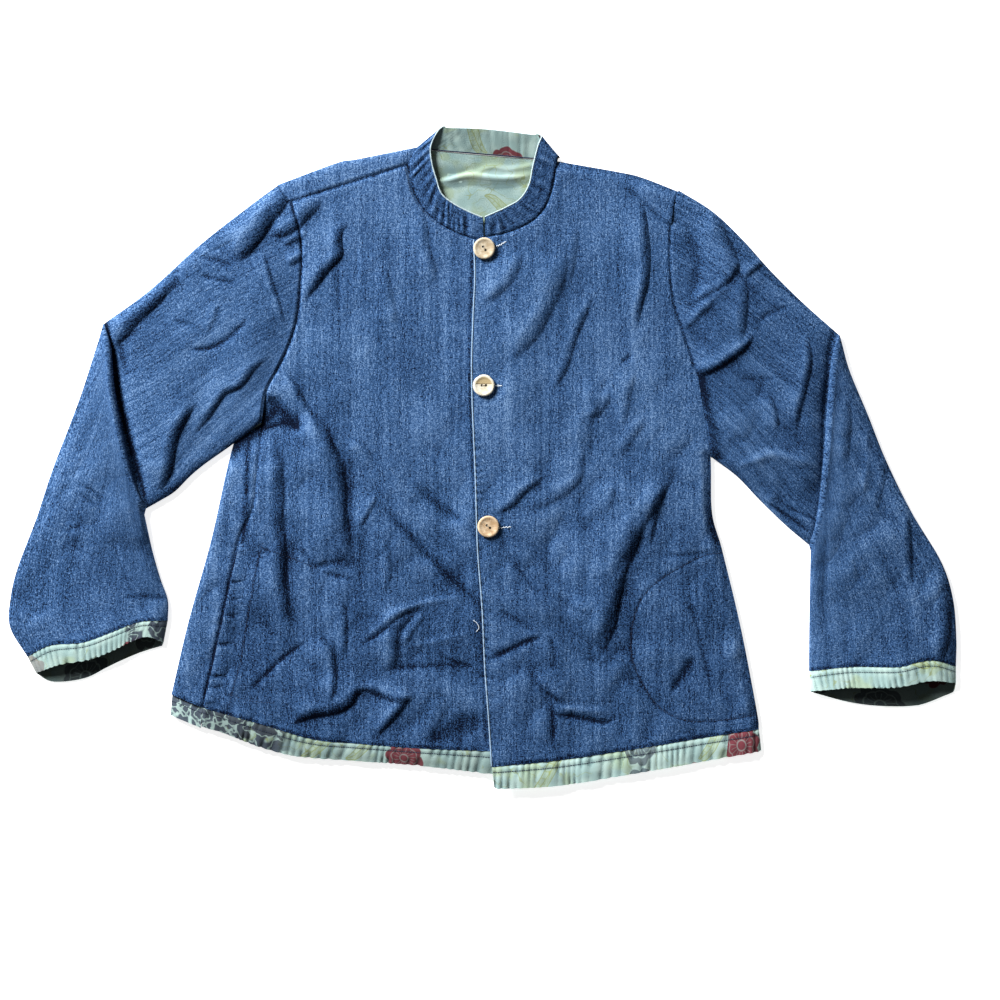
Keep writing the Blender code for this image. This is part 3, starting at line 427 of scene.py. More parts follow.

BUTTONS = {  # place, way its two holes run, how far its shell edge bites into the rim
    "button_top": ((2, 229.5), 2.2, 0.2),
    "button_middle": ((1.5, 79), 0.0, 1.0),
    "button_bottom": ((6.5, -76), 2.5, 0.1),
}
BUTTON_SEAT = 9.0
BUTTON_RADIUS = 12.0
BUTTON_STEPS = 72
HOLE_RADIUS = 1.35
HOLE_SPACING = 4.4
BUTTON_PROFILE = [  # (radius, height) from the middle of the dish over the rim to the middle underneath
    (0.0, 2.2), (3.0, 2.25), (6.0, 2.35), (7.6, 2.55), (8.6, 2.9), (9.4, 3.15), (10.2, 3.2), (11.0, 3.05),
    (11.7, 2.6), (12.0, 1.8), (11.7, 0.9), (11.0, 0.35), (9.0, 0.05), (0.0, 0.0),
]


# Lines and patches


def on_jacket(pixels):
    """Pixels of the photograph as places on the jacket in millimetres."""
    across, down = (np.array(pixels, float) - PHOTO_ORIGIN).T
    return np.stack([PIXEL * across, -PIXEL * down], axis=1)


def smooth_line(points):
    """A fine line of points along a smooth curve through the given ones."""
    knots = np.array(points, float)
    knots = np.vstack([2 * knots[0] - knots[1], knots, 2 * knots[-1] - knots[-2]])
    t = np.linspace(0, 1, SMOOTH_STEPS, endpoint=False)[:, None]
    runs = []
    for before, start, end, after in zip(knots, knots[1:], knots[2:], knots[3:]):
        second = 2 * before - 5 * start + 4 * end - after
        third = 3 * (start - end) + after - before
        runs.append(start + 0.5 * ((end - before) * t + second * t**2 + third * t**3))
    return np.vstack([*runs, knots[-2:-1]])


def lengths(line):
    """How far along a line each of its points lies."""
    steps = np.linalg.norm(np.diff(line, axis=0), axis=1)
    return np.concatenate([[0.0], np.cumsum(steps)])


def at_shares(line, shares):
    """Points at the given shares, 0 to 1, of a line's length."""
    reach = lengths(line)
    return np.stack([np.interp(shares, reach / reach[-1], column) for column in line.T], axis=1)


def even_line(points, count):
    return at_shares(smooth_line(points), np.linspace(0, 1, count + 1))


def beside(line, distance):
    """A line moved sideways, to the left of the way it runs."""
    along = np.gradient(line, axis=0)
    along /= np.linalg.norm(along, axis=1)[:, None]
    return line + distance * np.stack([-along[:, 1], along[:, 0]], axis=1)


def patch(bottom, top, left, right, u=None, v=None):
    """A grid of points between four border lines: bottom and top run left to right, left and right run up."""
    u = (np.linspace(0, 1, len(bottom)) if u is None else u)[None, :, None]
    v = (np.linspace(0, 1, len(left)) if v is None else v)[:, None, None]
    low = (1 - u) * bottom[0] + u * bottom[-1]
    high = (1 - u) * top[0] + u * top[-1]
    borders = (1 - v) * bottom[None] + v * top[None] + (1 - u) * left[:, None] + u * right[:, None]
    return borders - (1 - v) * low - v * high


def smooth_step(value):
    t = np.clip(value, 0, 1)
    return t * t * (3 - 2 * t)


def tapered(share, reach):
    """1 along a line, sinking to 0 over reach at both of its ends."""
    return smooth_step(share / reach) * smooth_step((1 - share) / reach)


def along_line(places, line):
    """Distance of each place from a line, positive on the left of its run, and its share along the line."""
    run = np.diff(line, axis=0)
    length = np.linalg.norm(run, axis=1)
    offset = places[:, None] - line[None, :-1]
    share = np.clip((offset * run).sum(-1) / length**2, 0, 1)
    gap = offset - share[..., None] * run
    away = np.linalg.norm(gap, axis=-1)
    nearest = away.argmin(axis=1)
    each = np.arange(len(places))
    turn = run[nearest, 0] * gap[each, nearest, 1] - run[nearest, 1] * gap[each, nearest, 0]
    reach = lengths(line)
    walked = (reach[nearest] + share[each, nearest] * length[nearest]) / reach[-1]
    return np.where(turn < 0, -1, 1) * away[each, nearest], walked


def close_by(places, line, reach):
    low, high = line.min(axis=0) - reach, line.max(axis=0) + reach
    return ((places > low) & (places < high)).all(axis=1)


# Heights of the cloth


def uneven(places, size, seed):
    """Smooth random waves between -1 and 1, about size across."""
    lattice = np.random.default_rng(seed).uniform(-1, 1, (64, 64))
    turned = places @ np.array([[0.8, 0.6], [-0.6, 0.8]]) / size + 20.3
    low = np.floor(turned).astype(int)
    t = smooth_step(turned - low)
    x, y = low[:, 0] % 64, low[:, 1] % 64
    right, up = (x + 1) % 64, (y + 1) % 64
    below = lattice[x, y] * (1 - t[:, 0]) + lattice[right, y] * t[:, 0]
    above = lattice[x, up] * (1 - t[:, 0]) + lattice[right, up] * t[:, 0]
    return below * (1 - t[:, 1]) + above * t[:, 1]


def waves(places):
    """The uneven lie of the whole garment, from broad swells down to small wrinkles."""
    swell = 1.1 * uneven(places, 120, 3) + 0.6 * uneven(places, 47, 4) + 0.3 * uneven(places, 21, 5)
    return swell + 0.16 * uneven(places, 9, 6) + 0.07 * uneven(places, 4.5, 7)


def crease_lie(places, creases):
    """How far a table of creases raises each place, and the painted shade in their folds, 0 to 1."""
    raise_by = np.zeros(len(places))
    shade = np.zeros(len(places))
    for form, half_width, steepness, pixels in creases:
        line = smooth_line(on_jacket(pixels))[::3]
        length = lengths(line)[-1]
        tail = min(CREASE_TAIL * half_width, 0.3 * length)
        near = close_by(places, line, 3 * half_width + 3 * tail)
        if not near.any():
            continue
        spots = places[near]
        aside, share = along_line(spots, line)
        taper = tapered(share, CREASE_TAPER)
        aside = aside + 0.22 * half_width * uneven(spots, 26, 13)
        across = aside / (half_width * (CREASE_POINT + (1 - CREASE_POINT) * taper))
        if form in ("mark", "pale"):
            taper = tapered(share, PAINTED_TAPER)
            profile = np.zeros(len(spots))
            dark = np.exp(-((aside / half_width) ** 2)) * (1 if form == "mark" else -1)
        elif form in ("valley", "ridge"):
            profile = np.exp(-(np.sqrt(across**2 + 0.2) - 0.45) / 0.9) * (1 if form == "ridge" else -1)
            dark = np.exp(-(across**2)) * (form == "valley")
        else:
            run = line[-1] - line[0]
            lit = -run[1] * LIGHT_FROM[0] + run[0] * LIGHT_FROM[1]
            up = across if lit > 0 else -across
            rise = 1 - (1 - np.clip((up + 1) / 2, 0, 1)) ** 2
            profile = rise * np.exp(-np.maximum(up - 1, 0) * half_width / tail)
            profile = profile * np.exp(-((aside / (0.45 * length)) ** 2))
            dark = smooth_step((up + 1.15) / 0.3) * (1 - smooth_step((up + 0.6) / 2.0))
        rough = 1 + 0.2 * uneven(spots, 40, 14)
        raise_by[near] += CREASE_GAIN * steepness * half_width * rough * profile * taper
        # Painted shade in the fold; a pale line gives shade below 0, which is a painted highlight.
        depth = np.clip(SHADE_GAIN * (steepness - SHADE_START), 0, SHADE_MOST) * np.minimum(1, 1.7 * taper)
        tint = depth * dark * (1 + 0.25 * uneven(spots, 14, 19))
        shade[near] = np.where(tint < 0, shade[near] + tint, np.maximum(shade[near], tint))
    return CREASE_LIMIT * np.tanh(raise_by / CREASE_LIMIT), shade


def crumple(places):
    """A net of small creases between flatter facets, strongest below the chest."""
    bent = places + 9 * np.column_stack([uneven(places, 60, 15), uneven(places, 60, 16)])
    net = 2.4 * np.abs(uneven(bent, 52, 17)) + 1.3 * np.abs(uneven(bent, 27, 18))
    low = smooth_step((90 - places[:, 1]) / 160)
    return (net - 1.1) * (0.3 + 0.7 * low)


def seam_groove(places, seams):
    """How far a seam pulls the cloth down beside it."""
    depth = np.zeros(len(places))
    for seam in seams:
        near = close_by(places, seam, 4 * SEAM_WIDTH)
        if near.any():
            away, _ = along_line(places[near], seam[::2])
            depth[near] = np.maximum(depth[near], SEAM_DEPTH * np.exp(-((away / SEAM_WIDTH) ** 2)))
    return depth


def lifted(height):
    """Heights kept above the layer underneath, softly."""
    return TOP_LEAST + 0.7 * np.logaddexp(0, (height - TOP_LEAST) / 0.7)


def round_buttons(places):
    """0 under a button, where the cloth lies flat, and 1 away from it."""
    calm = np.ones(len(places))
    for place, _, _ in BUTTONS.values():
        away = np.linalg.norm(places - np.array(place), axis=1)
        calm *= smooth_step((away - BUTTON_CALM[0]) / (BUTTON_CALM[1] - BUTTON_CALM[0]))
    return calm


def body_height(places):
    moved = waves(places) + crumple(places) + crease_lie(places, BODY_CREASES)[0]
    return lifted(TOP_REST + moved * round_buttons(places))


def body_shade(places):
    """The painted shade of the body's folds on a grid of places."""
    return crease_lie(places.reshape(-1, 2), BODY_CREASES)[1].reshape(places.shape[:2])


def right_front_height(places):
    seams = [SEAMS["right_side"], SEAMS["right_armhole"], SEAMS["right_shoulder"], SEAMS["right_neck"]]
    return body_height(places) - seam_groove(places, seams)


def lapped_height(places):
    """The left front's lie, raised where it laps over the right one."""
    return body_height(places) + LAP_RISE * (1 - smooth_step((places[:, 0] - LAP_START) / LAP_REACH))


def left_front_height(places):
    height = lapped_height(places) + front_edge_puckers(places) - seam_groove(places, [SEAMS["left_neck"]])
    height = height - 0.3 * seam_groove(places, [SEAMS["left_pocket"], SEAMS["left_armhole"]])
    low = FLOOR_REST + SHELL + 0.4
    gap = np.full(len(places), SIDE_ROLL)
    for edge in (SEAMS["left_free_side"], SEAMS["left_shoulder"]):
        near = close_by(places, edge, SIDE_ROLL)
        gap[near] = np.minimum(gap[near], np.abs(along_line(places[near], edge)[0]))
    return low + (height - low) * smooth_step(0.15 + 0.85 * gap / SIDE_ROLL)


def front_edge_puckers(places):
    """Short level tucks that the sewn front edge draws into the left front."""
    height = np.zeros(len(places))
    near = close_by(places, SEAMS["left_edge"], 26)
    away = np.abs(along_line(places[near], SEAMS["left_edge"][::4])[0])
    up = places[near, 1]
    busy = smooth_step((60 - np.abs(up + 20)) / 40) + smooth_step((80 - np.abs(up + 205)) / 40)
    beat = up / 8.4 + 0.9 * uneven(places[near], 31, 21)
    height[near] = 0.5 * busy * np.sin(2 * math.pi * beat) * np.exp(-((away / 11) ** 2))
    return height * round_buttons(places)


def rolled(height, gap, width):
    """Heights that round down to a turned edge, gap being the distance to it."""
    share = np.clip(gap / width, 0, 1)
    return TURN_HEIGHT + (height - TURN_HEIGHT) * np.sqrt(1 - (1 - share) ** 2)


def gathers(along, across, pitch, seed):
    """Slanting tucks in a sewn band, uneven in width and depth.

    along is the way walked along the band, and across runs from its seam, 0, to its edge, 1.
    """
    spots = np.stack([along, np.zeros_like(along)], axis=1)
    beat = (along + GATHER_SLANT * across) / pitch + 1.1 * uneven(spots, 30, seed)
    tuck = (0.5 + 0.5 * np.sin(2 * math.pi * beat)) ** 0.6
    here = np.stack([along, 30 * across], axis=1)
    strength = np.clip(0.6 + 0.8 * uneven(here, 14, seed + 1), 0.25, 1.0)
    return GATHER_HEIGHT * (1 - strength * (1 - tuck))


SEAMS = {
    "right_side": even_line(RIGHT_SIDE_SEAM, 90),
    "right_armhole": even_line(RIGHT_ARMHOLE, 60),
    "right_shoulder": even_line(RIGHT_SHOULDER_SEAM, 40),
    "right_neck": even_line(RIGHT_NECK, 50),
    "left_armhole": even_line(LEFT_ARMHOLE, 50),
    "left_neck": even_line(LEFT_NECK, 50),
    "left_edge": even_line(LEFT_FRONT_EDGE, 160),
    "left_shoulder": even_line(LEFT_SHOULDER, 40),
    "left_free_side": at_shares(smooth_line(LEFT_SIDE), np.linspace(0, LEFT_SIDE_FREE, 60)),
    "left_pocket": smooth_line(on_jacket(LEFT_POCKET_STITCH)),
}


# Shader maths


class Wire:
    """One output of a material's nodes. Operators on wires and numbers add Math nodes."""

    def __init__(self, tree, socket=None):
        self.tree = tree
        self.socket = socket

    def node(self, kind, settings=None, sockets=None, output=0):
        """A new node of the material: its settings are set first, then its sockets are filled or linked."""
        made = self.tree.nodes.new("ShaderNode" + kind)
        for name, value in (settings or {}).items():
            if name == "stops":
                set_stops(made.color_ramp, value)
            else:
                setattr(made, name, value)
        for name, value in (sockets or {}).items():
            if isinstance(value, Wire):
                self.tree.links.new(value.socket, made.inputs[name])
            else:
                made.inputs[name].default_value = value
        return Wire(self.tree, made.outputs[output])

    def math(self, operation, first, second=0.0):
        return self.node("Math", {"operation": operation}, {0: first, 1: second})

    def __add__(self, other):
        return self.math("ADD", self, other)

    def __radd__(self, other):
        return self.math("ADD", other, self)

    def __sub__(self, other):
        return self.math("SUBTRACT", self, other)

    def __rsub__(self, other):
        return self.math("SUBTRACT", other, self)

    def __mul__(self, other):
        return self.math("MULTIPLY", self, other)

    def __rmul__(self, other):
        return self.math("MULTIPLY", other, self)

    def __abs__(self):
        return self.math("ABSOLUTE", self)

    def most(self, other):
        return self.math("MAXIMUM", self, other)

    def cosine(self):
        return self.math("COSINE", self)

    def sine(self):
        return self.math("SINE", self)

    def step(self, low, high):
        """0 below low and 1 above high, with a soft change between."""
        sockets = {"Value": self, "From Min": low, "From Max": high}
        return self.node("MapRange", {"interpolation_type": "SMOOTHSTEP"}, sockets)

    def mix(self, first, second):
        """Colours first, where this wire is 0, to second, where it is 1."""
        return self.node("Mix", {"data_type": "RGBA"}, {0: self, 6: first, 7: second}, output=2)

    def ramp(self, stops):
        return self.node("ValToRGB", {"stops": stops}, {0: self})

    def scaled(self, x, y, shift=(0.0, 0.0)):
        """A place on the cloth, in millimetres, in steps of x and y."""
        sockets = {0: self, 1: (1 / x, 1 / y, 1.0), 2: (*shift, 0.0)}
        return self.node("VectorMath", {"operation": "MULTIPLY_ADD"}, sockets)

    def noise(self, x, y, detail=1.0, roughness=0.5, shift=(0.0, 0.0)):
        sockets = {"Vector": self.scaled(x, y, shift), "Scale": 1.0, "Detail": detail, "Roughness": roughness}
        return self.node("TexNoise", {"noise_dimensions": "2D"}, sockets)

    def part(self, axis):
        return self.node("SeparateXYZ", None, {0: self}, output=axis)


def set_stops(ramp, stops):
    """A ramp's colours: (position, colour) from low to high."""
    while len(ramp.elements) < len(stops):
        ramp.elements.new(0.5)
    for element, (position, colour) in zip(ramp.elements, stops):
        element.position = position
        element.color = (*colour, 1.0)


def new_finish(name, roughness, sheen=0.0):
    """A material, its shader, and the wire of places on the cloth in millimetres."""
    material = bpy.data.materials.new(name)
    material.use_nodes = True
    tree = material.node_tree
    shader = tree.nodes["Principled BSDF"]
    shader.inputs["Roughness"].default_value = roughness
    shader.inputs["Specular IOR Level"].default_value = 0.06
    shader.inputs["Sheen Weight"].default_value = sheen
    shader.inputs["Sheen Roughness"].default_value = 0.6
    return material, shader, Wire(tree).node("UVMap", {"uv_map": "grain"})


def feed(shader, wire, socket):
    wire.tree.links.new(wire.socket, shader.inputs[socket])


def feed_bump(shader, height, strength, distance):
    """Raises the surface by a wire of heights, 0 to 1, over distance in millimetres."""
    sockets = {"Height": height, "Strength": strength, "Distance": distance * MM}
    feed(shader, height.node("Bump", None, sockets), "Normal")


# Finishes


def denim_finish(name, tone_shift=0.0, hem_shade=0.0):
    """Washed indigo twill: pale and dark flecks, streaks along the warp, broad fading, and painted light and
    shade.
    """
    material, shader, grain = new_finish(name, 0.9)
    fleck = grain.noise(1.15, 1.35, detail=0.0)
    cluster = grain.noise(2.7, 3.1, detail=2.0, roughness=0.7, shift=(41.0, 7.0))
    yarn = grain.noise(1.6, 9.0, detail=1.0, shift=(3.0, 90.0))
    streak = grain.noise(3.2, 90.0, detail=2.0, shift=(17.0, 5.0))
    slub = grain.noise(11.0, 260.0, detail=1.0, shift=(8.0, 31.0))
    fade = grain.noise(75.0, 75.0, detail=2.0, shift=(2.0, 11.0))
    relief = grain.node("Attribute", {"attribute_name": "relief"}, output=2)
    tone = 0.5 + tone_shift + 1.1 * (fleck - 0.5) + 0.95 * (cluster - 0.5) + 0.55 * (yarn - 0.5)
    # relief makes ridges paler, partly wear and partly painted highlight, and hollows and folds darker, which
    # is painted shade. hem_shade darkens the cloth towards the hem.
    tone = tone + 0.42 * (streak - 0.5) + 0.35 * (slub - 0.5) + 0.4 * (fade - 0.5) + 0.15 * relief
    tone = tone - hem_shade * (1 - grain.part(1).step(-170.0, 10.0))
    colour = tone.ramp([
        (0.0, (0.0008, 0.003, 0.012)), (0.28, (0.015, 0.043, 0.110)), (0.5, (0.026, 0.068, 0.163)),
        (0.75, (0.059, 0.124, 0.257)), (1.0, (0.135, 0.225, 0.380)),
    ])
    feed(shader, colour, "Base Color")
    feed_bump(shader, fleck * 0.5 + cluster * 0.5, 0.4, 0.3)
    return material


def scattered_motifs(grain, shift, bent):
    """A line flower and a leaf in each cell of an uneven grid.

    Gives a chance for each cell, the flower's lines and whole, and the leaf's lines and whole.
    """
    cells = grain.scaled(62.0, 62.0, shift)
    settings = {"voronoi_dimensions": "2D", "feature": "F1"}
    sockets = {"Vector": cells, "Scale": 1.0, "Randomness": 0.75}
    chance = grain.node("TexVoronoi", settings, sockets, output=1).part(0)
    centre = grain.node("TexVoronoi", settings, sockets, output=2)
    local = grain.node("VectorMath", {"operation": "SUBTRACT"}, {0: cells, 1: centre})
    x, y = local.part(0), local.part(1)
    radius = grain.node("VectorMath", {"operation": "LENGTH"}, {0: local}, output=1) + 0.05 * (bent - 0.5)
    angle = x.math("ARCTAN2", y, x) + chance * 9.0 + 0.5 * (bent - 0.5)
    lobes = abs((angle * 4.0).sine())
    petal = 0.29 + 0.055 * lobes
    outline = 1 - abs(radius - petal).step(0.006, 0.016)
    ring = 1 - abs(radius - 0.20 - 0.03 * lobes).step(0.006, 0.014)
    heart = 1 - abs(radius - 0.075).step(0.006, 0.016)
    spokes = (angle * 16.0).cosine().step(0.72, 0.95) * (1 - radius.step(0.17, 0.2)) * radius.step(0.08, 0.1)
    inside = 1 - (radius - petal).step(-0.006, 0.006)
    flower = outline.most(heart).most(ring * 0.8).most(spokes * 0.7)
    leaf_side = abs(y + 0.25 * (x * 4.0).sine() + 0.05 * (bent - 0.5))
    blade = 0.12 * (1 - (x * x) * 8.0)
    leaf_edge = 1 - abs(leaf_side - blade).step(0.005, 0.014)
    vein = 1 - leaf_side.step(0.004, 0.012)
    rib = (x * 70.0 + leaf_side * 60.0).sine().step(0.75, 0.95) * (1 - (leaf_side - blade).step(-0.02, 0.0))
    on_blade = 1 - abs(x).step(0.34, 0.36)
    leaf = leaf_edge.most(vein).most(rib * 0.6) * on_blade
    leaf_body = (1 - (leaf_side - blade).step(-0.01, 0.01)) * on_blade
    return chance, flower, inside, leaf, leaf_body


def print_finish(name, shift, dark=1.0, slate_from=None, leafy=0.0):
    """Pale aqua cotton with a loose, generic scatter of line flowers and leaves in three colours.

    shift moves the scatter along the cloth, and leafy, above or below 0, gives more or less green. dark
    scales every colour, which is painted light and shade: a lighter or darker copy for a piece in more or
    less light.
    slate_from gives two places along the cloth between which its ground turns to slate.
    """
    material, shader, grain = new_finish(name, 0.8, sheen=0.05)
    aqua = tuple(dark * c for c in (0.262, 0.385, 0.372))
    mint = tuple(dark * c for c in (0.335, 0.455, 0.425))
    olive = tuple(dark * c for c in (0.205, 0.235, 0.055))
    moss = tuple(dark * c for c in (0.270, 0.330, 0.150))
    wine = tuple(dark * c for c in (0.135, 0.008, 0.020))
    slate = tuple(dark * c for c in (0.034, 0.042, 0.068))
    ground = grain.noise(24.0, 24.0, detail=2.0).step(0.35, 0.65).mix((*aqua, 1), (*mint, 1))
    wash = grain.noise(38.0, 30.0, detail=2.0, shift=shift).step(0.56 - leafy, 0.66 - leafy)
    ground = (wash * 0.42).mix(ground, (*moss, 1))
    curl = grain.noise(15.0, 15.0, detail=1.0, shift=(9.0, 2.0))
    grown = grain.noise(46.0, 46.0, shift=shift).step(0.5 - leafy, 0.56 - leafy)
    veins = (1 - abs(curl - 0.5).step(0.006, 0.02)) * grown
    ground = (veins * 0.55).mix(ground, (*olive, 1))
    bent = grain.noise(16.0, 16.0, detail=1.0, shift=(5.0, 3.0))
    chance, flower, inside, leaf, leaf_body = scattered_motifs(grain, shift, bent)
    is_wine = 1 - chance.step(0.24, 0.25)
    is_slate = chance.step(0.25, 0.26) * (1 - chance.step(0.4, 0.41))
    is_leaf = chance.step(0.4, 0.41) * (1 - chance.step(0.88, 0.89))
    colour = (leaf_body * is_leaf * 0.35).mix(ground, (*moss, 1))
    colour = (leaf * is_leaf * 0.7).mix(colour, (*olive, 1))
    colour = (inside * is_wine * 0.93).mix(colour, (*wine, 1))
    colour = (flower * is_wine * 0.35).mix(colour, (*mint, 1))
    colour = (inside * is_slate * 0.75).mix(colour, (*slate, 1))
    colour = (flower * is_slate * 0.8).mix(colour, (*mint, 1))
    if slate_from:
        first, last = slate_from
        along = grain.part(0) + 9.0 * (bent - 0.5)
        inked = along.step(first, first + 6) * (1 - along.step(last - 25, last))
        curls = grain.noise(13.0, 11.0, detail=1.5, shift=(8.0, 6.0))
        lines = 1 - abs(curls - 0.5).step(0.018, 0.05)
        blots = grain.noise(17.0, 17.0, detail=1.0, shift=(1.0, 4.0)).step(0.36, 0.44)
        colour = (inked * blots * 0.92).mix(colour, (*slate, 1))
        colour = (inked * lines * 0.75).mix(colour, (*mint, 1))
    # Painted shade and painted highlight: relief darkens the print in the cloth's hollows and folds and
    # brightens it on the ridges of its folds.
    relief = grain.node("Attribute", {"attribute_name": "relief"}, output=2)
    weave = grain.noise(1.2, 1.2, detail=1.0)
    shade = (0.5 + 0.28 * relief + 0.5 * (weave - 0.5)).step(0.05, 0.6)
    shadow = grain.node("VectorMath", {"operation": "MULTIPLY"}, {0: colour, 1: (0.50, 0.54, 0.56)})
    bright = grain.node("VectorMath", {"operation": "MULTIPLY"}, {0: colour, 1: (1.5, 1.45, 1.45)})
    colour = shade.mix(shadow, colour)
    feed(shader, relief.step(0.7, 1.8).mix(colour, bright), "Base Color")
    feed_bump(shader, weave, 0.35, 0.35)
    return material


def thread_finish(name, dark, pale):
    material, shader, grain = new_finish(name, 0.7, sheen=0.1)
    twist = grain.noise(0.35, 1.4, detail=1.0)
    feed(shader, twist.step(0.3, 0.7).mix((*dark, 1), (*pale, 1)), "Base Color")
    feed_bump(shader, twist, 0.4, 0.2)
    return material


def shell_finish(name, pale, tan, rough_third):
    """Polished coconut shell: fine grain, darker pores, and a paler rim, which is a painted highlight.

    rough_third, 0 or 1, says whether a third of the top is left rough.
    """
    material, shader, _ = new_finish(name, 0.34)
    place = Wire(material.node_tree).node("TexCoord", output=3)
    grain = place.scaled(MM, MM)
    x, y = grain.part(0), grain.part(1)
    streak = grain.noise(9.0, 1.6, detail=3.0, roughness=0.65)
    cloud = grain.noise(6.0, 6.0, detail=2.0, shift=(5.0, 2.0))
    pores = grain.noise(0.7, 0.5, detail=1.0, shift=(9.0, 4.0)).step(0.66, 0.76)
    radius = grain.node("VectorMath", {"operation": "LENGTH"}, {0: grain}, output=1)
    colour = (0.55 * streak + 0.75 * cloud - 0.15).step(0.3, 0.75).mix((*tan, 1), (*pale, 1))
    colour = (pores * 0.45).mix(colour, (0.16, 0.09, 0.04, 1))
    # Painted highlight: the rim is paler all round.
    rim = radius.step(9.6, 11.2)
    colour = (rim * 0.55).mix(colour, (*pale, 1))
    edge = y + 0.8 * (cloud - 0.5) - 1.6
    rough = edge.step(-0.15, 0.25) * (1 - radius.step(8.6, 9.4)) * rough_third
    colour = rough.mix(colour, (0.40, 0.31, 0.17, 1))
    lip = (1 - abs(edge).step(0.1, 0.7)) * (1 - radius.step(8.6, 9.2)) * rough_third
    colour = (lip * 0.7).mix(colour, (0.2, 0.13, 0.06, 1))
    feed(shader, colour, "Base Color")
    feed(shader, 0.32 + 0.35 * rough + 0.12 * streak, "Roughness")
    feed_bump(shader, 0.3 * streak + 0.3 * cloud - 0.8 * lip + 0.3 * rough - 0.3 * pores, 0.5, 0.4)
    shader.inputs["Coat Weight"].default_value = 0.25
    return material


# Meshes


def link(piece):
    bpy.context.scene.collection.objects.link(piece)
    return piece


def grained_mesh(name, points, faces, grain, finishes):
    """A smooth mesh of points in millimetres, with the place of each along the grain."""
    mesh = bpy.data.meshes.new(name)
    mesh.from_pydata((points * MM).tolist(), [], faces)
    corners = np.concatenate([np.array(face) for face in faces])
    mesh.uv_layers.new(name="grain").data.foreach_set("uv", grain[corners].ravel())
    for finish in finishes:
        mesh.materials.append(finish)
    mesh.shade_smooth()
    return mesh


def grid_faces(rows, columns, ring, start):
    index = start + np.arange(rows * columns).reshape(rows, columns)
    following = np.roll(index, -1, axis=1)
    if not ring:
        index, following = index[:, :-1], following[:, :-1]
    return np.stack([index[:-1], following[:-1], following[1:], index[1:]], axis=-1).reshape(-1, 4)


def face_areas(points, faces):
    """Area and direction of each four-sided face."""
    a, b, c, d = (points[faces[:, k]] for k in range(4))
    return np.cross(c - a, d - b) / 2


def blurred(grid, reach):
    """A grid of heights averaged over reach points to each side."""
    for axis in (0, 1):
        pad = [(reach + 1, reach) if k == axis else (0, 0) for k in (0, 1)]
        total = np.cumsum(np.pad(grid, pad, mode="edge"), axis=axis)
        count = 2 * reach + 1
        ahead = np.take(total, np.arange(count, total.shape[axis]), axis=axis)
        grid = (ahead - np.take(total, np.arange(total.shape[axis] - count), axis=axis)) / count
    return grid


def local_relief(height):
    """How far each point stands above the cloth round it, near by and farther off."""
    near = blurred(blurred(height, 3), 3)
    far = blurred(blurred(height, 12), 12)
    return np.clip(0.9 * (height - near) + 0.45 * (height - far), -2.2, 1.6)


def low_nearby(height):
    """The lowest height within INSIDE_STEP points of each, so a coarse inside stays under the outside."""
    low = height
    for axis in (0, 1):
        rows = [low]
        for step in range(1, INSIDE_STEP + 1):
            index = np.arange(low.shape[axis])
            for moved in (index + step, index - step):
                rows.append(np.take(low, np.clip(moved, 0, len(index) - 1), axis=axis))
        low = np.minimum.reduce(rows)
    return low


class Sheet:
    """One grid of cloth: points, places along the grain, and how far the folds raise it, all in millimetres.

    shade, 0 to 1, is painted shade in its folds, taken off relief, which tints the cloth paler
    where it stands out and darker in its hollows: painted light and shade.
    """

    def __init__(self, points, grain, relief=None, shade=0.0, down=False):
        self.points = points
        self.grain = grain
        self.relief = (local_relief(points[..., 2]) if relief is None else relief) - SHADE_TONE * shade
        self.down = down


def coarse(count):
    """Every few indices of a row, with the last one."""
    return np.unique(np.append(np.arange(0, count, INSIDE_STEP), count - 1))


def rim_faces(grid, inner, rows, columns, ring):
    """Faces that close the edge between a fine outer grid of points and a coarser inner one."""
    faces = []
    runs = [(grid[0], inner[0], columns, True), (grid[-1], inner[-1], columns, False)]
    if not ring:
        runs += [(grid[:, 0], inner[:, 0], rows, False), (grid[:, -1], inner[:, -1], rows, True)]
    for outside, inside, kept, turned in runs:
        for k in range(len(kept) - 1):
            face = [*outside[kept[k] : kept[k + 1] + 1], inside[k + 1], inside[k]]
            faces.append(face[::-1] if turned else face)
        if ring:
            face = [*outside[kept[-1] :], outside[0], inside[0], inside[-1]]
            faces.append(face[::-1] if turned else face)
    return faces


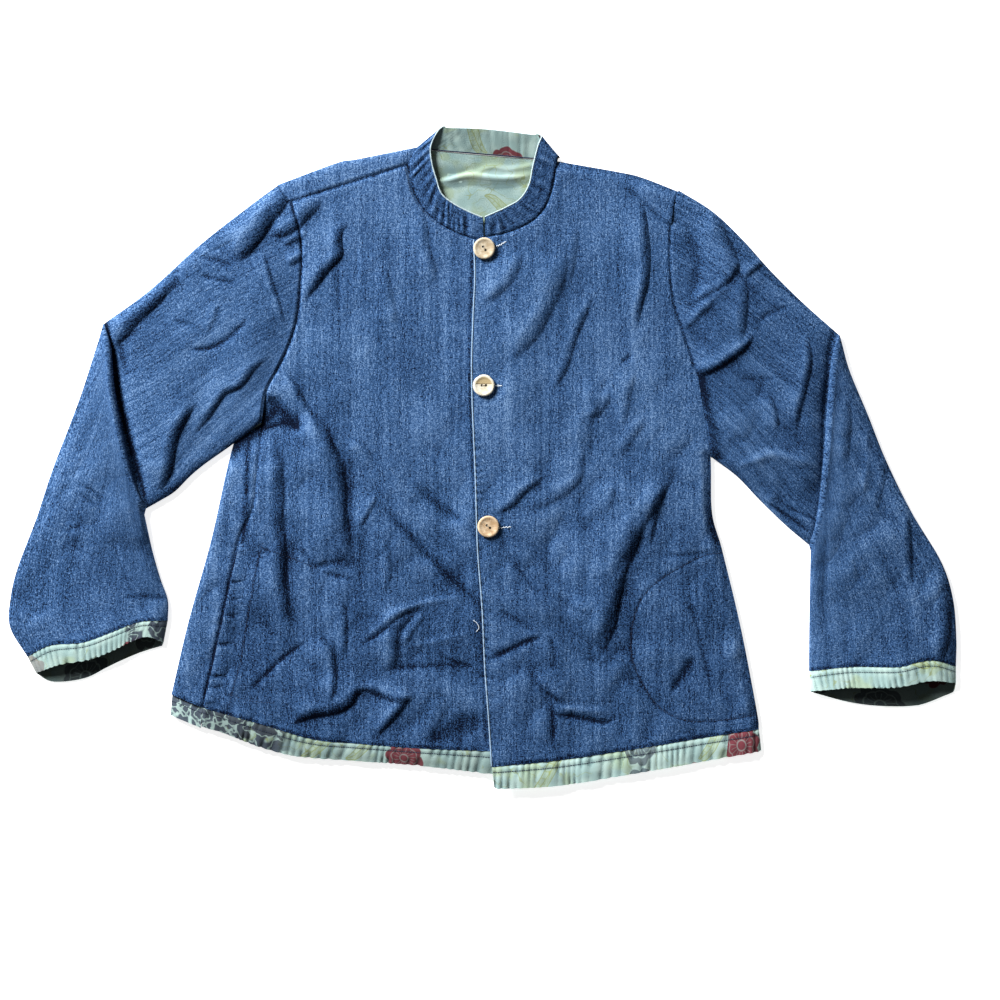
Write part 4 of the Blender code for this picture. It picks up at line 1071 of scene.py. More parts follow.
def cloth(name, sheets, outside, inside, thickness=SHELL, ring=False):
    """A cloth piece: sheets joined in one mesh, each a wall with a fine outside and a coarser inside."""
    points = []
    grain = []
    relief = []
    faces = []
    inner_faces = []
    area = 0.0
    start = 0
    for sheet in sheets:
        rows, columns = sheet.points.shape[:2]
        flat = sheet.points.reshape(-1, 3)
        quads = grid_faces(rows, columns, ring, 0)
        areas = face_areas(flat, quads)
        area += np.linalg.norm(areas, axis=1).sum()
        facing = areas[:, 2]
        if ring:
            facing = facing * (flat[quads].mean(axis=1)[:, 2] - flat[quads][..., 2].mean())
        flip = (facing.sum() < 0) != sheet.down
        normals = np.zeros_like(flat)
        for corner in range(4):
            np.add.at(normals, quads[:, corner], -areas if flip else areas)
        normals /= np.linalg.norm(normals, axis=1)[:, None] + 1e-12
        kept_rows = coarse(rows)
        kept_columns = np.arange(0, columns, INSIDE_STEP) if ring else coarse(columns)
        grid = start + np.arange(rows * columns).reshape(rows, columns)
        kept = (grid - start)[np.ix_(kept_rows, kept_columns)]
        inner_start = start + rows * columns
        inner = inner_start + np.arange(kept.size).reshape(kept.shape)
        under_points = (flat - normals * thickness / 2)[kept.ravel()]
        lowest = low_nearby(sheet.points[..., 2]).ravel()[kept.ravel()] - thickness / 2
        upward = (normals[kept.ravel(), 2] > 0.4) & (thickness == SHELL)
        under_points[upward, 2] = np.minimum(under_points[upward, 2], lowest[upward])
        points += [flat + normals * thickness / 2, under_points]
        grain += [sheet.grain.reshape(-1, 2), sheet.grain.reshape(-1, 2)[kept.ravel()]]
        relief += [sheet.relief.ravel(), sheet.relief.ravel()[kept.ravel()]]
        under = grid_faces(*kept.shape, ring, inner_start)
        rim = rim_faces(grid, inner, kept_rows, kept_columns, ring)
        faces += ((quads[:, ::-1] if flip else quads) + start).tolist()
        faces += [face[::-1] for face in rim] if flip else rim
        inner_faces += (under if flip else under[:, ::-1]).tolist()
        start = inner_start + kept.size
    mesh = grained_mesh(name, np.vstack(points), faces + inner_faces, np.vstack(grain), [outside, inside])
    # relief goes to the finishes, which paint the cloth paler where it stands out and darker in its hollows
    # and folds.
    mesh.attributes.new("relief", "FLOAT", "POINT").data.foreach_set("value", np.concatenate(relief))
    mesh.polygons.foreach_set("material_index", np.repeat([0, 1], [len(faces), len(inner_faces)]))
    mesh.set_sharp_from_angle(angle=math.radians(55))
    piece = link(bpy.data.objects.new(name, mesh))
    piece["cloth_area"] = float(area) * MM * MM
    return piece


def apply_modifiers(piece, sharp_angle):
    graph = bpy.context.evaluated_depsgraph_get()
    shaped = piece.evaluated_get(graph)
    made = bpy.data.meshes.new_from_object(shaped, preserve_all_data_layers=True, depsgraph=graph)
    made.shade_smooth()
    made.set_sharp_from_angle(angle=math.radians(sharp_angle))
    old = piece.data
    piece.modifiers.clear()
    piece.data = made
    made.name = piece.name
    bpy.data.meshes.remove(old)


def state(piece, node_names, flat=None):
    """Hangs a piece under the root and hides the model nodes it stands for; flat, a cut's size in mm, is not
    kept.
    """
    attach(piece, "root")
    if node_names:
        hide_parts(*node_names)
    if flat:
        width, length = flat[0] * MM, flat[1] * MM
        area = min(piece["cloth_area"], width * length)
    return piece


def raised(places, height):
    """A grid of places with the heights that a function gives them."""
    flat = places.reshape(-1, 2)
    return np.dstack([places, height(flat).reshape(places.shape[:2])])


def tube(name, path, radius, finish, sides=8):
    """A thin round edge or thread along a path of points, closed at both ends."""
    along = np.gradient(path, axis=0)
    along /= np.linalg.norm(along, axis=1)[:, None]
    side = np.cross(along, (0.0, 0.0, 1.0))
    side /= np.linalg.norm(side, axis=1)[:, None]
    up = np.cross(side, along)
    turn = np.linspace(0, 2 * math.pi, sides, endpoint=False)
    taper = np.ones(len(path))
    taper[[0, -1]] = 0.35
    spread = np.cos(turn)[None, :, None] * side[:, None] + np.sin(turn)[None, :, None] * up[:, None]
    points = path[:, None] + radius * taper[:, None, None] * spread
    faces = grid_faces(len(path), sides, True, 0)[:, ::-1].tolist()
    last = (len(path) - 1) * sides
    faces.append(list(range(sides)))
    faces.append(list(range(last, last + sides))[::-1])
    walked = np.repeat(lengths(path), sides)
    grain = np.stack([np.tile(turn * radius, len(path)), walked], axis=1)
    mesh = grained_mesh(name, points.reshape(-1, 3), faces, grain, [finish])
    return link(bpy.data.objects.new(name, mesh))


STITCH_SIDES = 6
STITCH_RINGS = [  # (way along half a stitch, share of its thickness)
    (-1.0, 0.0), (-0.8, 0.7), (-0.3, 1.0), (0.3, 1.0), (0.8, 0.7), (1.0, 0.0),
]


def stitches(name, paths, finish, pitch=3.0, length=2.1, radius=0.36):
    """Rows of sewn stitches along paths of points that lie on the cloth, joined in one mesh."""
    turn = np.linspace(0, 2 * math.pi, STITCH_SIDES, endpoint=False)
    points = []
    grain = []
    faces = []
    for path in paths:
        count = max(1, int(lengths(path)[-1] / pitch))
        middles = at_shares(path, (np.arange(count) + 0.5) / count)
        ends = at_shares(path, (np.arange(count) + 0.55) / count)
        along = ends - middles
        along /= np.linalg.norm(along, axis=1)[:, None]
        side = np.cross(along, (0.0, 0.0, 1.0))
        up = np.cross(side, along)
        for middle, ahead, across, above in zip(middles, along, side, up):
            start = len(points) * STITCH_SIDES * len(STITCH_RINGS)
            rings = []
            for place, thickness in STITCH_RINGS:
                centre = middle + ahead * place * length / 2
                spread = np.cos(turn)[:, None] * across + 0.7 * np.sin(turn)[:, None] * above
                rings.append(centre + radius * max(thickness, 0.05) * spread)
            points.append(np.vstack(rings))
            grain.append(points[-1][:, :2])
            faces.append(grid_faces(len(STITCH_RINGS), STITCH_SIDES, True, start)[:, ::-1])
    capped = np.vstack(faces).tolist()
    per_stitch = STITCH_SIDES * len(STITCH_RINGS)
    for k in range(len(points)):
        first = k * per_stitch
        capped.append([first + i for i in range(STITCH_SIDES)])
        capped.append([first + per_stitch - 1 - i for i in range(STITCH_SIDES)])
    mesh = grained_mesh(name, np.vstack(points), capped, np.vstack(grain), [finish])
    return state(link(bpy.data.objects.new(name, mesh)), ())


def laid_on(line, height, lift=0.0):
    """A line of places carried on a cloth whose middle has the given height."""
    return np.column_stack([line, height(line) + SHELL / 2 + lift])


# Body


def straight(start, end, count):
    return np.linspace(start, end, count + 1)


def right_front():
    border = np.vstack([even_line(RIGHT_SIDE_SEAM, SIDE_ROWS), even_line(RIGHT_ARMHOLE, ARMHOLE_ROWS)[1:]])
    neck = even_line(RIGHT_NECK, NECK_ROWS)
    edge = even_line(RIGHT_FRONT_EDGE, len(border) - 1 - NECK_ROWS - NECK_CORNER_ROWS)
    corner = straight(edge[-1], neck[0], NECK_CORNER_ROWS)[1:-1]
    hem = even_line(RIGHT_HEM, FRONT_COLUMNS)
    shoulder = even_line(RIGHT_SHOULDER_SEAM, FRONT_COLUMNS)
    places = patch(hem, shoulder, border, np.vstack([edge, corner, neck]))
    sheet = Sheet(raised(places, right_front_height), places, shade=body_shade(places))
    piece = cloth("right_front_cloth", [sheet], FINISH["denim"], FINISH["lining"])
    return state(piece, ["right_front"], (350, 645))


def left_front():
    border = np.vstack([even_line(LEFT_SIDE, SIDE_ROWS), even_line(LEFT_ARMHOLE, ARMHOLE_ROWS)[1:]])
    neck = even_line(LEFT_NECK, NECK_ROWS)
    edge = even_line(LEFT_FRONT_EDGE, len(border) - 1 - NECK_ROWS - NECK_CORNER_ROWS)
    corner = straight(edge[-1], neck[0], NECK_CORNER_ROWS)[1:-1]
    shoulder = even_line(LEFT_SHOULDER, FRONT_COLUMNS)[::-1]
    places = patch(even_line(LEFT_HEM, FRONT_COLUMNS), shoulder, np.vstack([edge, corner, neck]), border)
    sheet = Sheet(raised(places, left_front_height), places + LEFT_FRONT_GRAIN, shade=body_shade(places))
    piece = cloth("left_front_cloth", [sheet], FINISH["left_front_denim"], FINISH["lining"])
    return state(piece, ["left_front"], (320, 670))


def turned_strip(edge, seam, sunk):
    """The part of the back that turns over a silhouette edge and runs on top to its seam.

    sunk says for each row, 0 to 1, how far it passes under another piece.
    """
    shares = np.concatenate([[0.0], np.linspace(0, 1, STRIP_COLUMNS) ** 1.4])
    inward = seam - edge
    width = np.linalg.norm(inward, axis=1)[:, None]
    inward = inward / width
    under = [(9.0, FLOOR_REST), (4.0, FLOOR_REST), (1.2, FLOOR_REST + 0.45)]
    columns = [np.column_stack([edge + inward * reach, np.full(len(edge), z)]) for reach, z in under]
    for share in shares[1:]:
        places = edge + (seam - edge) * share
        height = body_height(places) - seam_groove(places, [seam])
        height = rolled(height, share * width[:, 0], EDGE_ROLL * 0.7)
        height = height * (1 - sunk) + TURN_HEIGHT * sunk
        columns.append(np.column_stack([places, height]))
    points = np.stack(columns, axis=1)
    grain = points[..., :2] + STRIP_GRAIN
    return Sheet(points, grain, shade=body_shade(points[..., :2]))


def back():
    rows = SIDE_ROWS
    fold = even_line(RIGHT_FOLD_EDGE, rows)
    seam = even_line(RIGHT_SIDE_SEAM, rows)
    to_end = lengths(seam)[-1] - lengths(seam)
    fold += STRIP_REACH * np.exp(-((to_end / 12) ** 2))[:, None]
    side_strip = turned_strip(fold, beside(seam, 0.3), smooth_step(1 - to_end / 30))
    shoulder_edge = even_line(RIGHT_SHOULDER_EDGE, 70)
    shoulder_seam = beside(even_line(RIGHT_SHOULDER_SEAM, 70), 0.3)
    to_neck = (lengths(shoulder_seam)[-1] - lengths(shoulder_seam))[:, None]
    shoulder_edge += (4.0, 0.7) * np.exp(-((to_neck / 14) ** 2))
    shoulder_seam += (4.0, 1.2) * np.exp(-((to_neck / 14) ** 2))
    shoulder_strip = turned_strip(shoulder_edge, shoulder_seam, 0.6 * smooth_step(1 - to_neck[:, 0] / 12))
    border = np.vstack([even_line(RIGHT_FOLD_EDGE, 40), even_line(RIGHT_ARMHOLE, 30)[1:], [(-221, 297)]])
    free_side = beside(even_line(LEFT_SIDE, 40), BACK_INSET)
    left = np.vstack([free_side, even_line(LEFT_ARMHOLE, 31)[1:]])
    shoulder = even_line(RIGHT_SHOULDER_EDGE, 20)
    shoulder[0] = border[-1]
    top = np.vstack([shoulder, even_line(BACK_NECK, 20), even_line(LEFT_SHOULDER, 20)[::-1][1:]])
    bottom = even_line(BACK_HEM, len(top) - 1)
    bottom[0], bottom[-1] = border[0], left[0]
    top[-1] = left[-1]
    places = patch(bottom, top, border, left)
    flat = np.dstack([places, np.full(places.shape[:2], FLOOR_REST)])
    floor = Sheet(flat, places + BACK_GRAIN, down=True)
    piece = cloth("back_cloth", [floor, side_strip, shoulder_strip], FINISH["denim"], FINISH["lining"])
    return state(piece, ["back", "back_shoulder"], (650, 665))


def band_grain(walked, levels):
    """Places along a band's grain: the way walked along it, at each row's level across it."""
    return np.stack([np.column_stack([walked, np.full(len(walked), level)]) for level in levels])


def hem_band(side, hem, edge, height, seed):
    """A print band under a front's hem, gathered by its row of stitches, whose line it gives."""
    count = int(lengths(hem)[-1] / BAND_STEP)
    shares = np.linspace(0, 1, count + 1)
    inside = beside(at_shares(hem, shares), OVERHANG)
    low = at_shares(smooth_line(edge), shares)
    base = height(at_shares(hem, shares))
    walked = lengths(low)
    rows = []
    relief = []
    for across in np.linspace(0, 1, BAND_ROWS):
        tuck = gathers(walked, np.full(count + 1, across), HEM_PITCH, seed)
        stitch = 0.55 * math.exp(-(((across - BAND_STITCH) / 0.07) ** 2))
        drop = OVERHANG_DROP * (1 - smooth_step(across / 0.25)) + 0.9 * smooth_step((across - 0.6) / 0.4)
        places = inside * (1 - across) + low * across
        places = places + np.column_stack([np.zeros(count + 1), -1.1 * across**3 * (tuck - 0.7)])
        rows.append(np.column_stack([places, base - drop + tuck - stitch]))
        # Painted shade in the tucks' hollows and along the row of stitches.
        relief.append((tuck - 0.75 - stitch) * 2.6)
    points = np.stack(rows)
    sheet = Sheet(points, band_grain(walked, 24.0 * np.arange(BAND_ROWS) / BAND_ROWS), np.stack(relief))
    finish = FINISH[f"{side}_hem_print"]
    piece = cloth(f"{side}_hem_band_cloth", [sheet], finish, finish, THIN_SHELL)
    cut = (walked[-1] * 1.04, 27)
    state(piece, [f"{side}_hem_band"], cut)
    return points[STITCH_ROW] + (0.0, 0.0, THIN_SHELL / 2 + 0.15)


def back_hem_band():
    """The back's band: on the floor under the fronts, and turned up with the back at the right side."""
    across = [(0.0, 3.2), (0.35, 4.6), (0.7, 5.0), (1.0, 5.1)]
    fold = np.array(RIGHT_FOLD_EDGE[0], float)
    seam = np.array(RIGHT_SIDE_SEAM[0], float)
    turned = [np.append(fold + (seam - fold) * share, z) for share, z in across[::-1]]
    under = [np.append(fold + (2.5, 0), 1.0), np.append(fold + (7.0, -1.0), FLOOR_REST)]
    hem = even_line(BACK_HEM, 120)[3:]
    line = np.vstack([turned, under, np.column_stack([hem, np.full(len(hem), FLOOR_REST)])])
    line = at_shares(line, np.linspace(0, 1, 620))
    walked = lengths(line)
    on_top = smooth_step((line[:, 2] - 2.5) / 2)
    rows = []
    relief = []
    for share in np.linspace(0, 1, BAND_ROWS):
        tuck = gathers(walked, np.full(len(line), share), HEM_PITCH, 61) * on_top
        drop = OVERHANG_DROP * (1 - smooth_step(share / 0.3)) * on_top
        rows.append(line + np.array([-2.0, -BACK_BAND, 0]) * share)
        rows[-1][:, 1] += OVERHANG * (1 - share) * on_top - 0.3
        rows[-1][:, 2] += tuck - drop
        # Painted shade in the tucks' hollows where the band shows on top.
        relief.append(1.8 * (tuck - 0.75 * on_top))
    points = np.stack(rows)
    sheet = Sheet(points, band_grain(walked, 22.0 * np.arange(BAND_ROWS) / BAND_ROWS), np.stack(relief))
    finish = FINISH["back_hem_print"]
    piece = cloth("back_hem_band_cloth", [sheet], finish, finish, THIN_SHELL)
    cut = (walked[-1], 24)
    state(piece, ["back_hem_band"], cut)
    shown = int((on_top > 0.2).sum())
    return points[STITCH_ROW][:shown] + (0.0, 0.0, THIN_SHELL / 2 + 0.15)


def pocket_welt():
    """The turned strip of the in-seam pocket, lying on the right front beside its side seam."""
    edge = smooth_line(on_jacket(WELT_EDGE))
    shares = np.linspace(0, 1, 150)
    outer = at_shares(edge, shares)
    seam = even_line(RIGHT_SIDE_SEAM, 400)
    inner = np.stack([seam[np.argmin(np.abs(seam[:, 1] - y))] for y in outer[:, 1] - 2.0]) + (2.2, 0.0)
    rungs = PIXEL * (PHOTO_ORIGIN[1] - np.array(WELT_RUNGS, float))
    rows = []
    relief = []
    for share in np.linspace(0, 1, 16):
        places = inner * (1 - share) + outer * share
        height = right_front_height(places) + seam_groove(places, [SEAMS["right_side"]])
        dip = np.zeros(len(places))
        crest = np.zeros(len(places))
        for pixel, rung in zip(WELT_RUNGS, rungs):
            depth = 1.3 if pixel in WELT_DEEP_RUNGS else 0.8
            above = places[:, 1] - rung - 3.0 * (0.5 - share)
            dip += depth * np.exp(-((above / 2.0) ** 2))
            crest += depth * np.exp(-(((above + 4.5) / 2.6) ** 2))
        lift = 1.7 - 2.2 * smooth_step(share / 0.97)
        lift = lift * smooth_step(np.minimum(shares, 1 - shares) / 0.04)
        sunk = dip * math.sin(math.pi * (0.1 + 0.8 * share))
        rows.append(np.column_stack([places, height + 0.25 + lift - sunk]))
        # Painted highlight along the folded edge by the seam and on each crest, painted shade in the rungs.
        relief.append(1.7 * math.exp(-((share / 0.09) ** 2)) - 1.9 * dip + 0.7 * crest)
    points = np.stack(rows)
    piece = cloth("pocket_welt_cloth", [Sheet(points, points[..., :2], np.stack(relief))], FINISH["denim"],
                  FINISH["lining"], THIN_SHELL)
    return state(piece, ["pocket_welt"], (24, 185))


# Sleeves


def edge_shares(count):
    """Shares from 0 to 1 that lie closer together at both ends, where the cloth turns."""
    t = np.linspace(0, 1, count + 1)
    return 0.45 * t + 0.55 * (0.5 - 0.5 * np.cos(math.pi * t))


def armhole(side):
    if side == "right":
        return np.vstack([[SLEEVES["right"]["outer_upper"][0]], beside(SEAMS["right_armhole"], 0.3)[::-1]])
    border = at_shares(smooth_line(LEFT_SIDE), np.linspace(LEFT_SIDE_FREE, 1, 30))
    return beside(np.vstack([border, SEAMS["left_armhole"][1:]]), -0.3)[::-1]


def edge_gap(places):
    """How far each place of a grid lies from the nearer end of its row."""
    first = np.linalg.norm(places - places[:, :1], axis=-1)
    last = np.linalg.norm(places - places[:, -1:], axis=-1)
    return np.minimum(first, last)


def sleeve_heights(places, creases, rise):
    """Heights of a sleeve's top, rounded down to its edges, and its relief, with the painted shade of its
    folds.
    """
    flat = places.reshape(-1, 2)
    raise_by, shade = crease_lie(flat, creases)
    moved = (waves(flat) + crumple(flat) + raise_by).reshape(places.shape[:2])
    lie = lifted(TOP_REST + moved)
    relief = local_relief(lie) - SHADE_TONE * shade.reshape(places.shape[:2])
    return rolled(lie + rise, edge_gap(places), EDGE_ROLL), relief


def floor_heights(places):
    share = np.clip(edge_gap(places) / FLOOR_ROLL, 0, 1)
    return TURN_HEIGHT - (TURN_HEIGHT - FLOOR_REST) * np.sqrt(1 - (1 - share) ** 2)


def sleeve(side):
    """A sleeve bent at the elbow, with a pleat there and an open cuff.

    Gives the shares across its top, and its points there along the cuff.
    """
    lines = SLEEVES[side]
    u = edge_shares(SLEEVE_COLUMNS)
    floor_u = edge_shares(SLEEVE_FLOOR_COLUMNS)
    v = np.linspace(0, 1, UPPER_ARM_ROWS + 1)
    w = np.linspace(0, 1, FOREARM_ROWS + 1)
    hole = armhole(side)
    crease = smooth_line(lines["crease"])
    outer_upper = at_shares(smooth_line(lines["outer_upper"]), v)
    inner_upper = at_shares(smooth_line(lines["inner_upper"]), v)
    outer_upper[0], inner_upper[0] = hole[0], hole[-1]
    outer_fore = at_shares(smooth_line(lines["outer_fore"]), w)
    inner_fore = at_shares(smooth_line(lines["inner_fore"]), w)

    def upper_arm(shares):
        return patch(at_shares(hole, shares), at_shares(crease, shares), outer_upper, inner_upper, shares, v)

    def crest(shares):
        line = at_shares(crease, shares)
        first = smooth_step(shares / CREST_EASE)[:, None]
        last = smooth_step((1 - shares) / CREST_EASE)[:, None]
        line = line + (beside(line, lines["forearm_side"] * CREST_STEP) - line) * first * last
        return line + (outer_fore[0] - line[0]) * (1 - first) + (inner_fore[0] - line[-1]) * (1 - last)

    def forearm(shares, cuff):
        end = at_shares(smooth_line(lines[cuff]), shares)
        return patch(crest(shares), end, outer_fore, inner_fore, shares, w)

    bow = 0.06 + 0.94 * np.sin(math.pi * u) ** 0.7
    upper, upper_floor = upper_arm(u), upper_arm(floor_u)
    fore, fore_floor = forearm(u, "cuff_front"), forearm(floor_u, "cuff_back")
    loft = SLEEVE_LOFT * np.sin(math.pi * u) ** 0.8
    from_hole = smooth_step(np.linalg.norm(upper - upper[:1], axis=-1) / 60)
    upper_creases, fore_creases = SLEEVE_CREASES[side]
    to_elbow = np.linalg.norm(upper - upper[-1:], axis=-1)
    upper_loft = loft * from_hole * (0.35 + 0.65 * smooth_step(to_elbow / 30))
    upper_z, upper_shading = sleeve_heights(upper, upper_creases, upper_loft)
    upper_z -= ELBOW_DIP * np.exp(-((to_elbow / 11) ** 2)) * bow
    to_armpit = np.linalg.norm(upper - hole[-1], axis=-1)
    upper_z += ARMPIT_LIFT * np.exp(-((to_armpit / 32) ** 2))
    flat_hole = upper[:3].reshape(-1, 2)
    upper_z[:3] -= (1.0 if side == "right" else 0.3) * seam_groove(flat_hole, [hole]).reshape(3, -1)
    walked = np.linalg.norm(fore - fore[:1], axis=-1)
    to_go = np.linalg.norm(fore - fore[-1:], axis=-1)
    lip = lines["pleat"] * ELBOW_PLEAT[-1][1] * np.exp(-walked / PLEAT_FALL) * bow
    opened = CUFF_LIFT * np.exp(-to_go / CUFF_FALL) * bow
    fore_loft = loft * (0.35 + 0.65 * smooth_step(walked / 60))
    fore_z, fore_shading = sleeve_heights(fore, fore_creases, lip + opened + fore_loft)

    ahead = beside(at_shares(crease, u), lines["forearm_side"]) - at_shares(crease, u)
    share = np.linspace(0, 1, len(ELBOW_PLEAT) + 2)[1:-1]
    base_z = upper_z[-1] * (1 - share[:, None]) + (fore_z[0] - lip[0]) * share[:, None]
    pleat = np.stack([upper[-1] + ahead * reach * bow[:, None] for reach, _ in ELBOW_PLEAT])
    pleat_z = base_z + lines["pleat"] * np.array([height for _, height in ELBOW_PLEAT])[:, None] * bow
    pleat_floor = upper_floor[-1] * (1 - share[:, None, None]) + fore_floor[0] * share[:, None, None]

    tops = np.concatenate([upper, pleat, fore])
    heights = np.concatenate([upper_z, pleat_z, fore_z])
    relief = np.concatenate([upper_shading, np.zeros_like(pleat_z), fore_shading])
    floors = np.concatenate([upper_floor, pleat_floor, fore_floor])
    top = np.dstack([tops, heights])
    under = np.dstack([floors, floor_heights(floors)])[:, -2:0:-1]
    points = np.concatenate([top, under], axis=1)
    middle = top[:, SLEEVE_COLUMNS // 2]
    along = lengths(middle)
    step = np.linalg.norm(np.diff(points[..., :2], axis=1), axis=-1)
    around = np.concatenate([np.zeros((len(points), 1)), np.cumsum(step, axis=1)], axis=1)
    around -= around[:, SLEEVE_COLUMNS // 2, None]
    grain = np.dstack([around, np.repeat(along[:, None], points.shape[1], axis=1)]) + SLEEVE_GRAIN
    all_shading = np.concatenate([relief, np.zeros(under.shape[:2])], axis=1)
    sheet = Sheet(points, grain, all_shading)
    piece = cloth(f"{side}_sleeve_cloth", [sheet], FINISH[f"{side}_denim"], FINISH["inside"], ring=True)
    width = np.linalg.norm(np.diff(points, axis=1), axis=-1).sum(axis=1).max()
    state(piece, [f"{side}_sleeve"], (width, along[-1]))
    return u, top[-1]


def cuff_band(side, shares, cuff):
    """A gathered print band round an open cuff, its inside painted dark as shadow. Gives the line of its
    stitches.
    """
    lines = SLEEVES[side]
    front_line, back_line = smooth_line(lines["band_front"]), smooth_line(lines["band_back"])
    count = int(lengths(front_line)[-1] / BAND_STEP)
    u = edge_shares(count)
    floor_u = edge_shares(50)
    start = np.column_stack([np.interp(u, shares, cuff[:, k]) for k in range(3)])
    end = at_shares(front_line, u)
    bow = np.sin(math.pi * u) ** 0.4
    back_start = at_shares(smooth_line(lines["cuff_back"]), floor_u)
    back_end = at_shares(back_line, floor_u)
    walked = lengths(end)
    direction = end - start[:, :2]
    direction /= np.linalg.norm(direction, axis=1)[:, None]
    rows = []
    relief = []
    grain = []
    for across in np.linspace(0, 1, BAND_ROWS):
        tuck = gathers(walked, np.full(count + 1, across), CUFF_PITCH, CUFF_SEED[side]) * bow
        stitch = 0.5 * math.exp(-(((across - BAND_STITCH) / 0.07) ** 2))
        drop = OVERHANG_DROP * (1 - smooth_step(across / 0.25)) * bow
        begin = start[:, :2] + direction * (0.4 - (OVERHANG + 0.4) * bow)[:, None]
        places = begin * (1 - across) + end * across + direction * (1.8 * across**3 * (tuck - 0.7))[:, None]
        top = np.column_stack([places, start[:, 2] - drop + tuck - stitch * bow])
        floor = back_start * (1 - across) + back_end * across
        floor = floor - (back_end - back_start) * (0.1 * (1 - across))
        tucked_in = 0.5 * (1 - smooth_step(across / 0.3))
        under = np.column_stack([floor, floor_heights(floor[None])[0] + tucked_in])[-2:0:-1]
        rows.append(np.vstack([top, under]))
        # Painted shade in the tucks' hollows and along the row of stitches.
        relief.append(np.concatenate([(tuck - 0.75 * bow - stitch) * 2.8, np.zeros(len(under))]))
        back_walk = walked[-1] + np.linspace(0, walked[-1], len(under) + 2)[1:-1]
        around = np.concatenate([walked, back_walk])
        grain.append(np.column_stack([around, np.full(len(around), 22.0 * across)]))
    sheet = Sheet(np.stack(rows), np.stack(grain), np.stack(relief))
    finish = FINISH[f"{side}_cuff_print"]
    piece = cloth(f"{side}_cuff_band_cloth", [sheet], finish, FINISH["inside"], THIN_SHELL, ring=True)
    state(piece, [f"{side}_cuff_band"], (2.1 * walked[-1], 26))
    return rows[STITCH_ROW][4 : count - 4] + (0.0, 0.0, THIN_SHELL / 2 + 0.12)


# Collar and neck


def collar():
    """The band collar, ribbed by gathers, with a thin print edge. Gives its points behind the print side."""
    table = np.array([(*seam, *edge, keep) for seam, edge, keep in COLLAR_STATIONS])
    steps = (len(table) - 1) * COLLAR_SPLIT
    fine = smooth_line(table)
    fine = fine[np.linspace(0, len(fine) - 1, steps + 1).round().astype(int)]
    seam, edge, keep = fine[:, :2], fine[:, 2:4], np.clip(fine[:, 4], 0, 1)
    right_half = np.arange(len(fine)) < len(fine) // 2
    height = np.where(right_half, body_height(seam), lapped_height(seam))
    base = FLOOR_REST + keep * (np.maximum(TOP_REST, height) - FLOOR_REST)
    walked = lengths((seam + edge) / 2)
    spots = np.column_stack([walked, np.zeros(len(walked))])
    beat = walked / COLLAR_PITCH + 1.3 * uneven(spots, 24, 91)
    rows = []
    relief = []
    for share in np.linspace(0, 1, COLLAR_ROWS):
        here = np.column_stack([walked, np.full(len(walked), 26 * share)])
        lean = 0.25 * (share - 0.5) + 0.25 * uneven(here, 15, 93)
        strength = np.clip(0.6 + 0.9 * uneven(here, 12, 92), 0.1, 1)
        rib = COLLAR_RIB * strength * np.sin(2 * math.pi * (beat + lean))
        rib = rib * math.sin(math.pi * (0.12 + 0.8 * share))
        seam_dip = 1.2 * math.exp(-((share / 0.06) ** 2)) - 0.2 * math.exp(-(((share - 0.14) / 0.07) ** 2))
        edge_dip = 0.5 * smooth_step((share - 0.85) / 0.15)
        places = seam * (1 - share) + edge * share
        rise = COLLAR_LIFT * share**1.3 - 0.5 * keep
        height = base + rise + rib * (0.3 + 0.7 * keep) - seam_dip * keep - edge_dip
        rows.append(np.column_stack([places, np.maximum(height, FLOOR_REST)]))
        # Painted light and shade: the ribs paler on their ridges and darker in their hollows, and a dark
        # painted shadow along the seam. The whole collar is also a little darker.
        relief.append(2.2 * rib - 0.5 - 3.0 * math.exp(-((share / 0.045) ** 2)))
    points = np.stack(rows)
    width = np.linalg.norm(edge - seam, axis=1).mean()
    grain = band_grain(walked, np.linspace(0, width, COLLAR_ROWS))[..., ::-1] + COLLAR_GRAIN
    sheet = Sheet(points, grain, np.stack(relief))
    piece = cloth("collar_cloth", [sheet], FINISH["collar_denim"], FINISH["lining"])
    cut = (walked[-1] * 1.05, width * 1.1)
    state(piece, ["collar"], cut)
    edging = tube("collar_edging", points[-1] + (0.0, 0.0, 0.2), 0.85, FINISH["edging"])
    state(edging, ())
    lined = slice(COLLAR_LINED[0] * COLLAR_SPLIT - 8, COLLAR_LINED[1] * COLLAR_SPLIT + 4)
    return points[:, lined]


def collar_lining(points):
    """The collar's print side where it shows, made from the collar's own points, with upright puckers."""
    walked = lengths(points[0])
    spots = np.column_stack([walked, np.zeros(len(walked))])
    rows = []
    relief = []
    for share, row in zip(np.linspace(0, 1, COLLAR_ROWS), points):
        beat = row[:, 0] / 8.0 + 1.1 * uneven(spots, 25, 95)
        deep = np.clip(0.5 + 0.7 * uneven(row[:, :2], 14, 96), 0, 1)
        tuck = deep * (0.5 + 0.5 * np.sin(2 * math.pi * beat)) ** 0.8
        rows.append(row + np.column_stack([np.zeros((len(row), 2)), SHELL / 2 + 0.75 + 0.8 * tuck]))
        rows[-1][:, 1] += 0.6 * (1 - share)
        # Painted light and shade: the puckers paler on their ridges and darker in their hollows, and darker
        # towards the left end as painted shade.
        relief.append(2.2 * tuck - 0.9 - 0.5 * smooth_step((-18 - row[:, 0]) / 30))
    grid = np.stack(rows)
    width = np.linalg.norm(grid[-1] - grid[0], axis=1).mean()
    sheet = Sheet(grid, band_grain(walked, np.linspace(0, width, COLLAR_ROWS)), np.stack(relief))
    piece = cloth("collar_lining_cloth", [sheet], FINISH["collar_print"], FINISH["collar_print"], THIN_SHELL)
    cut = (walked[-1], width)
    return state(piece, ["collar_lining"], cut)


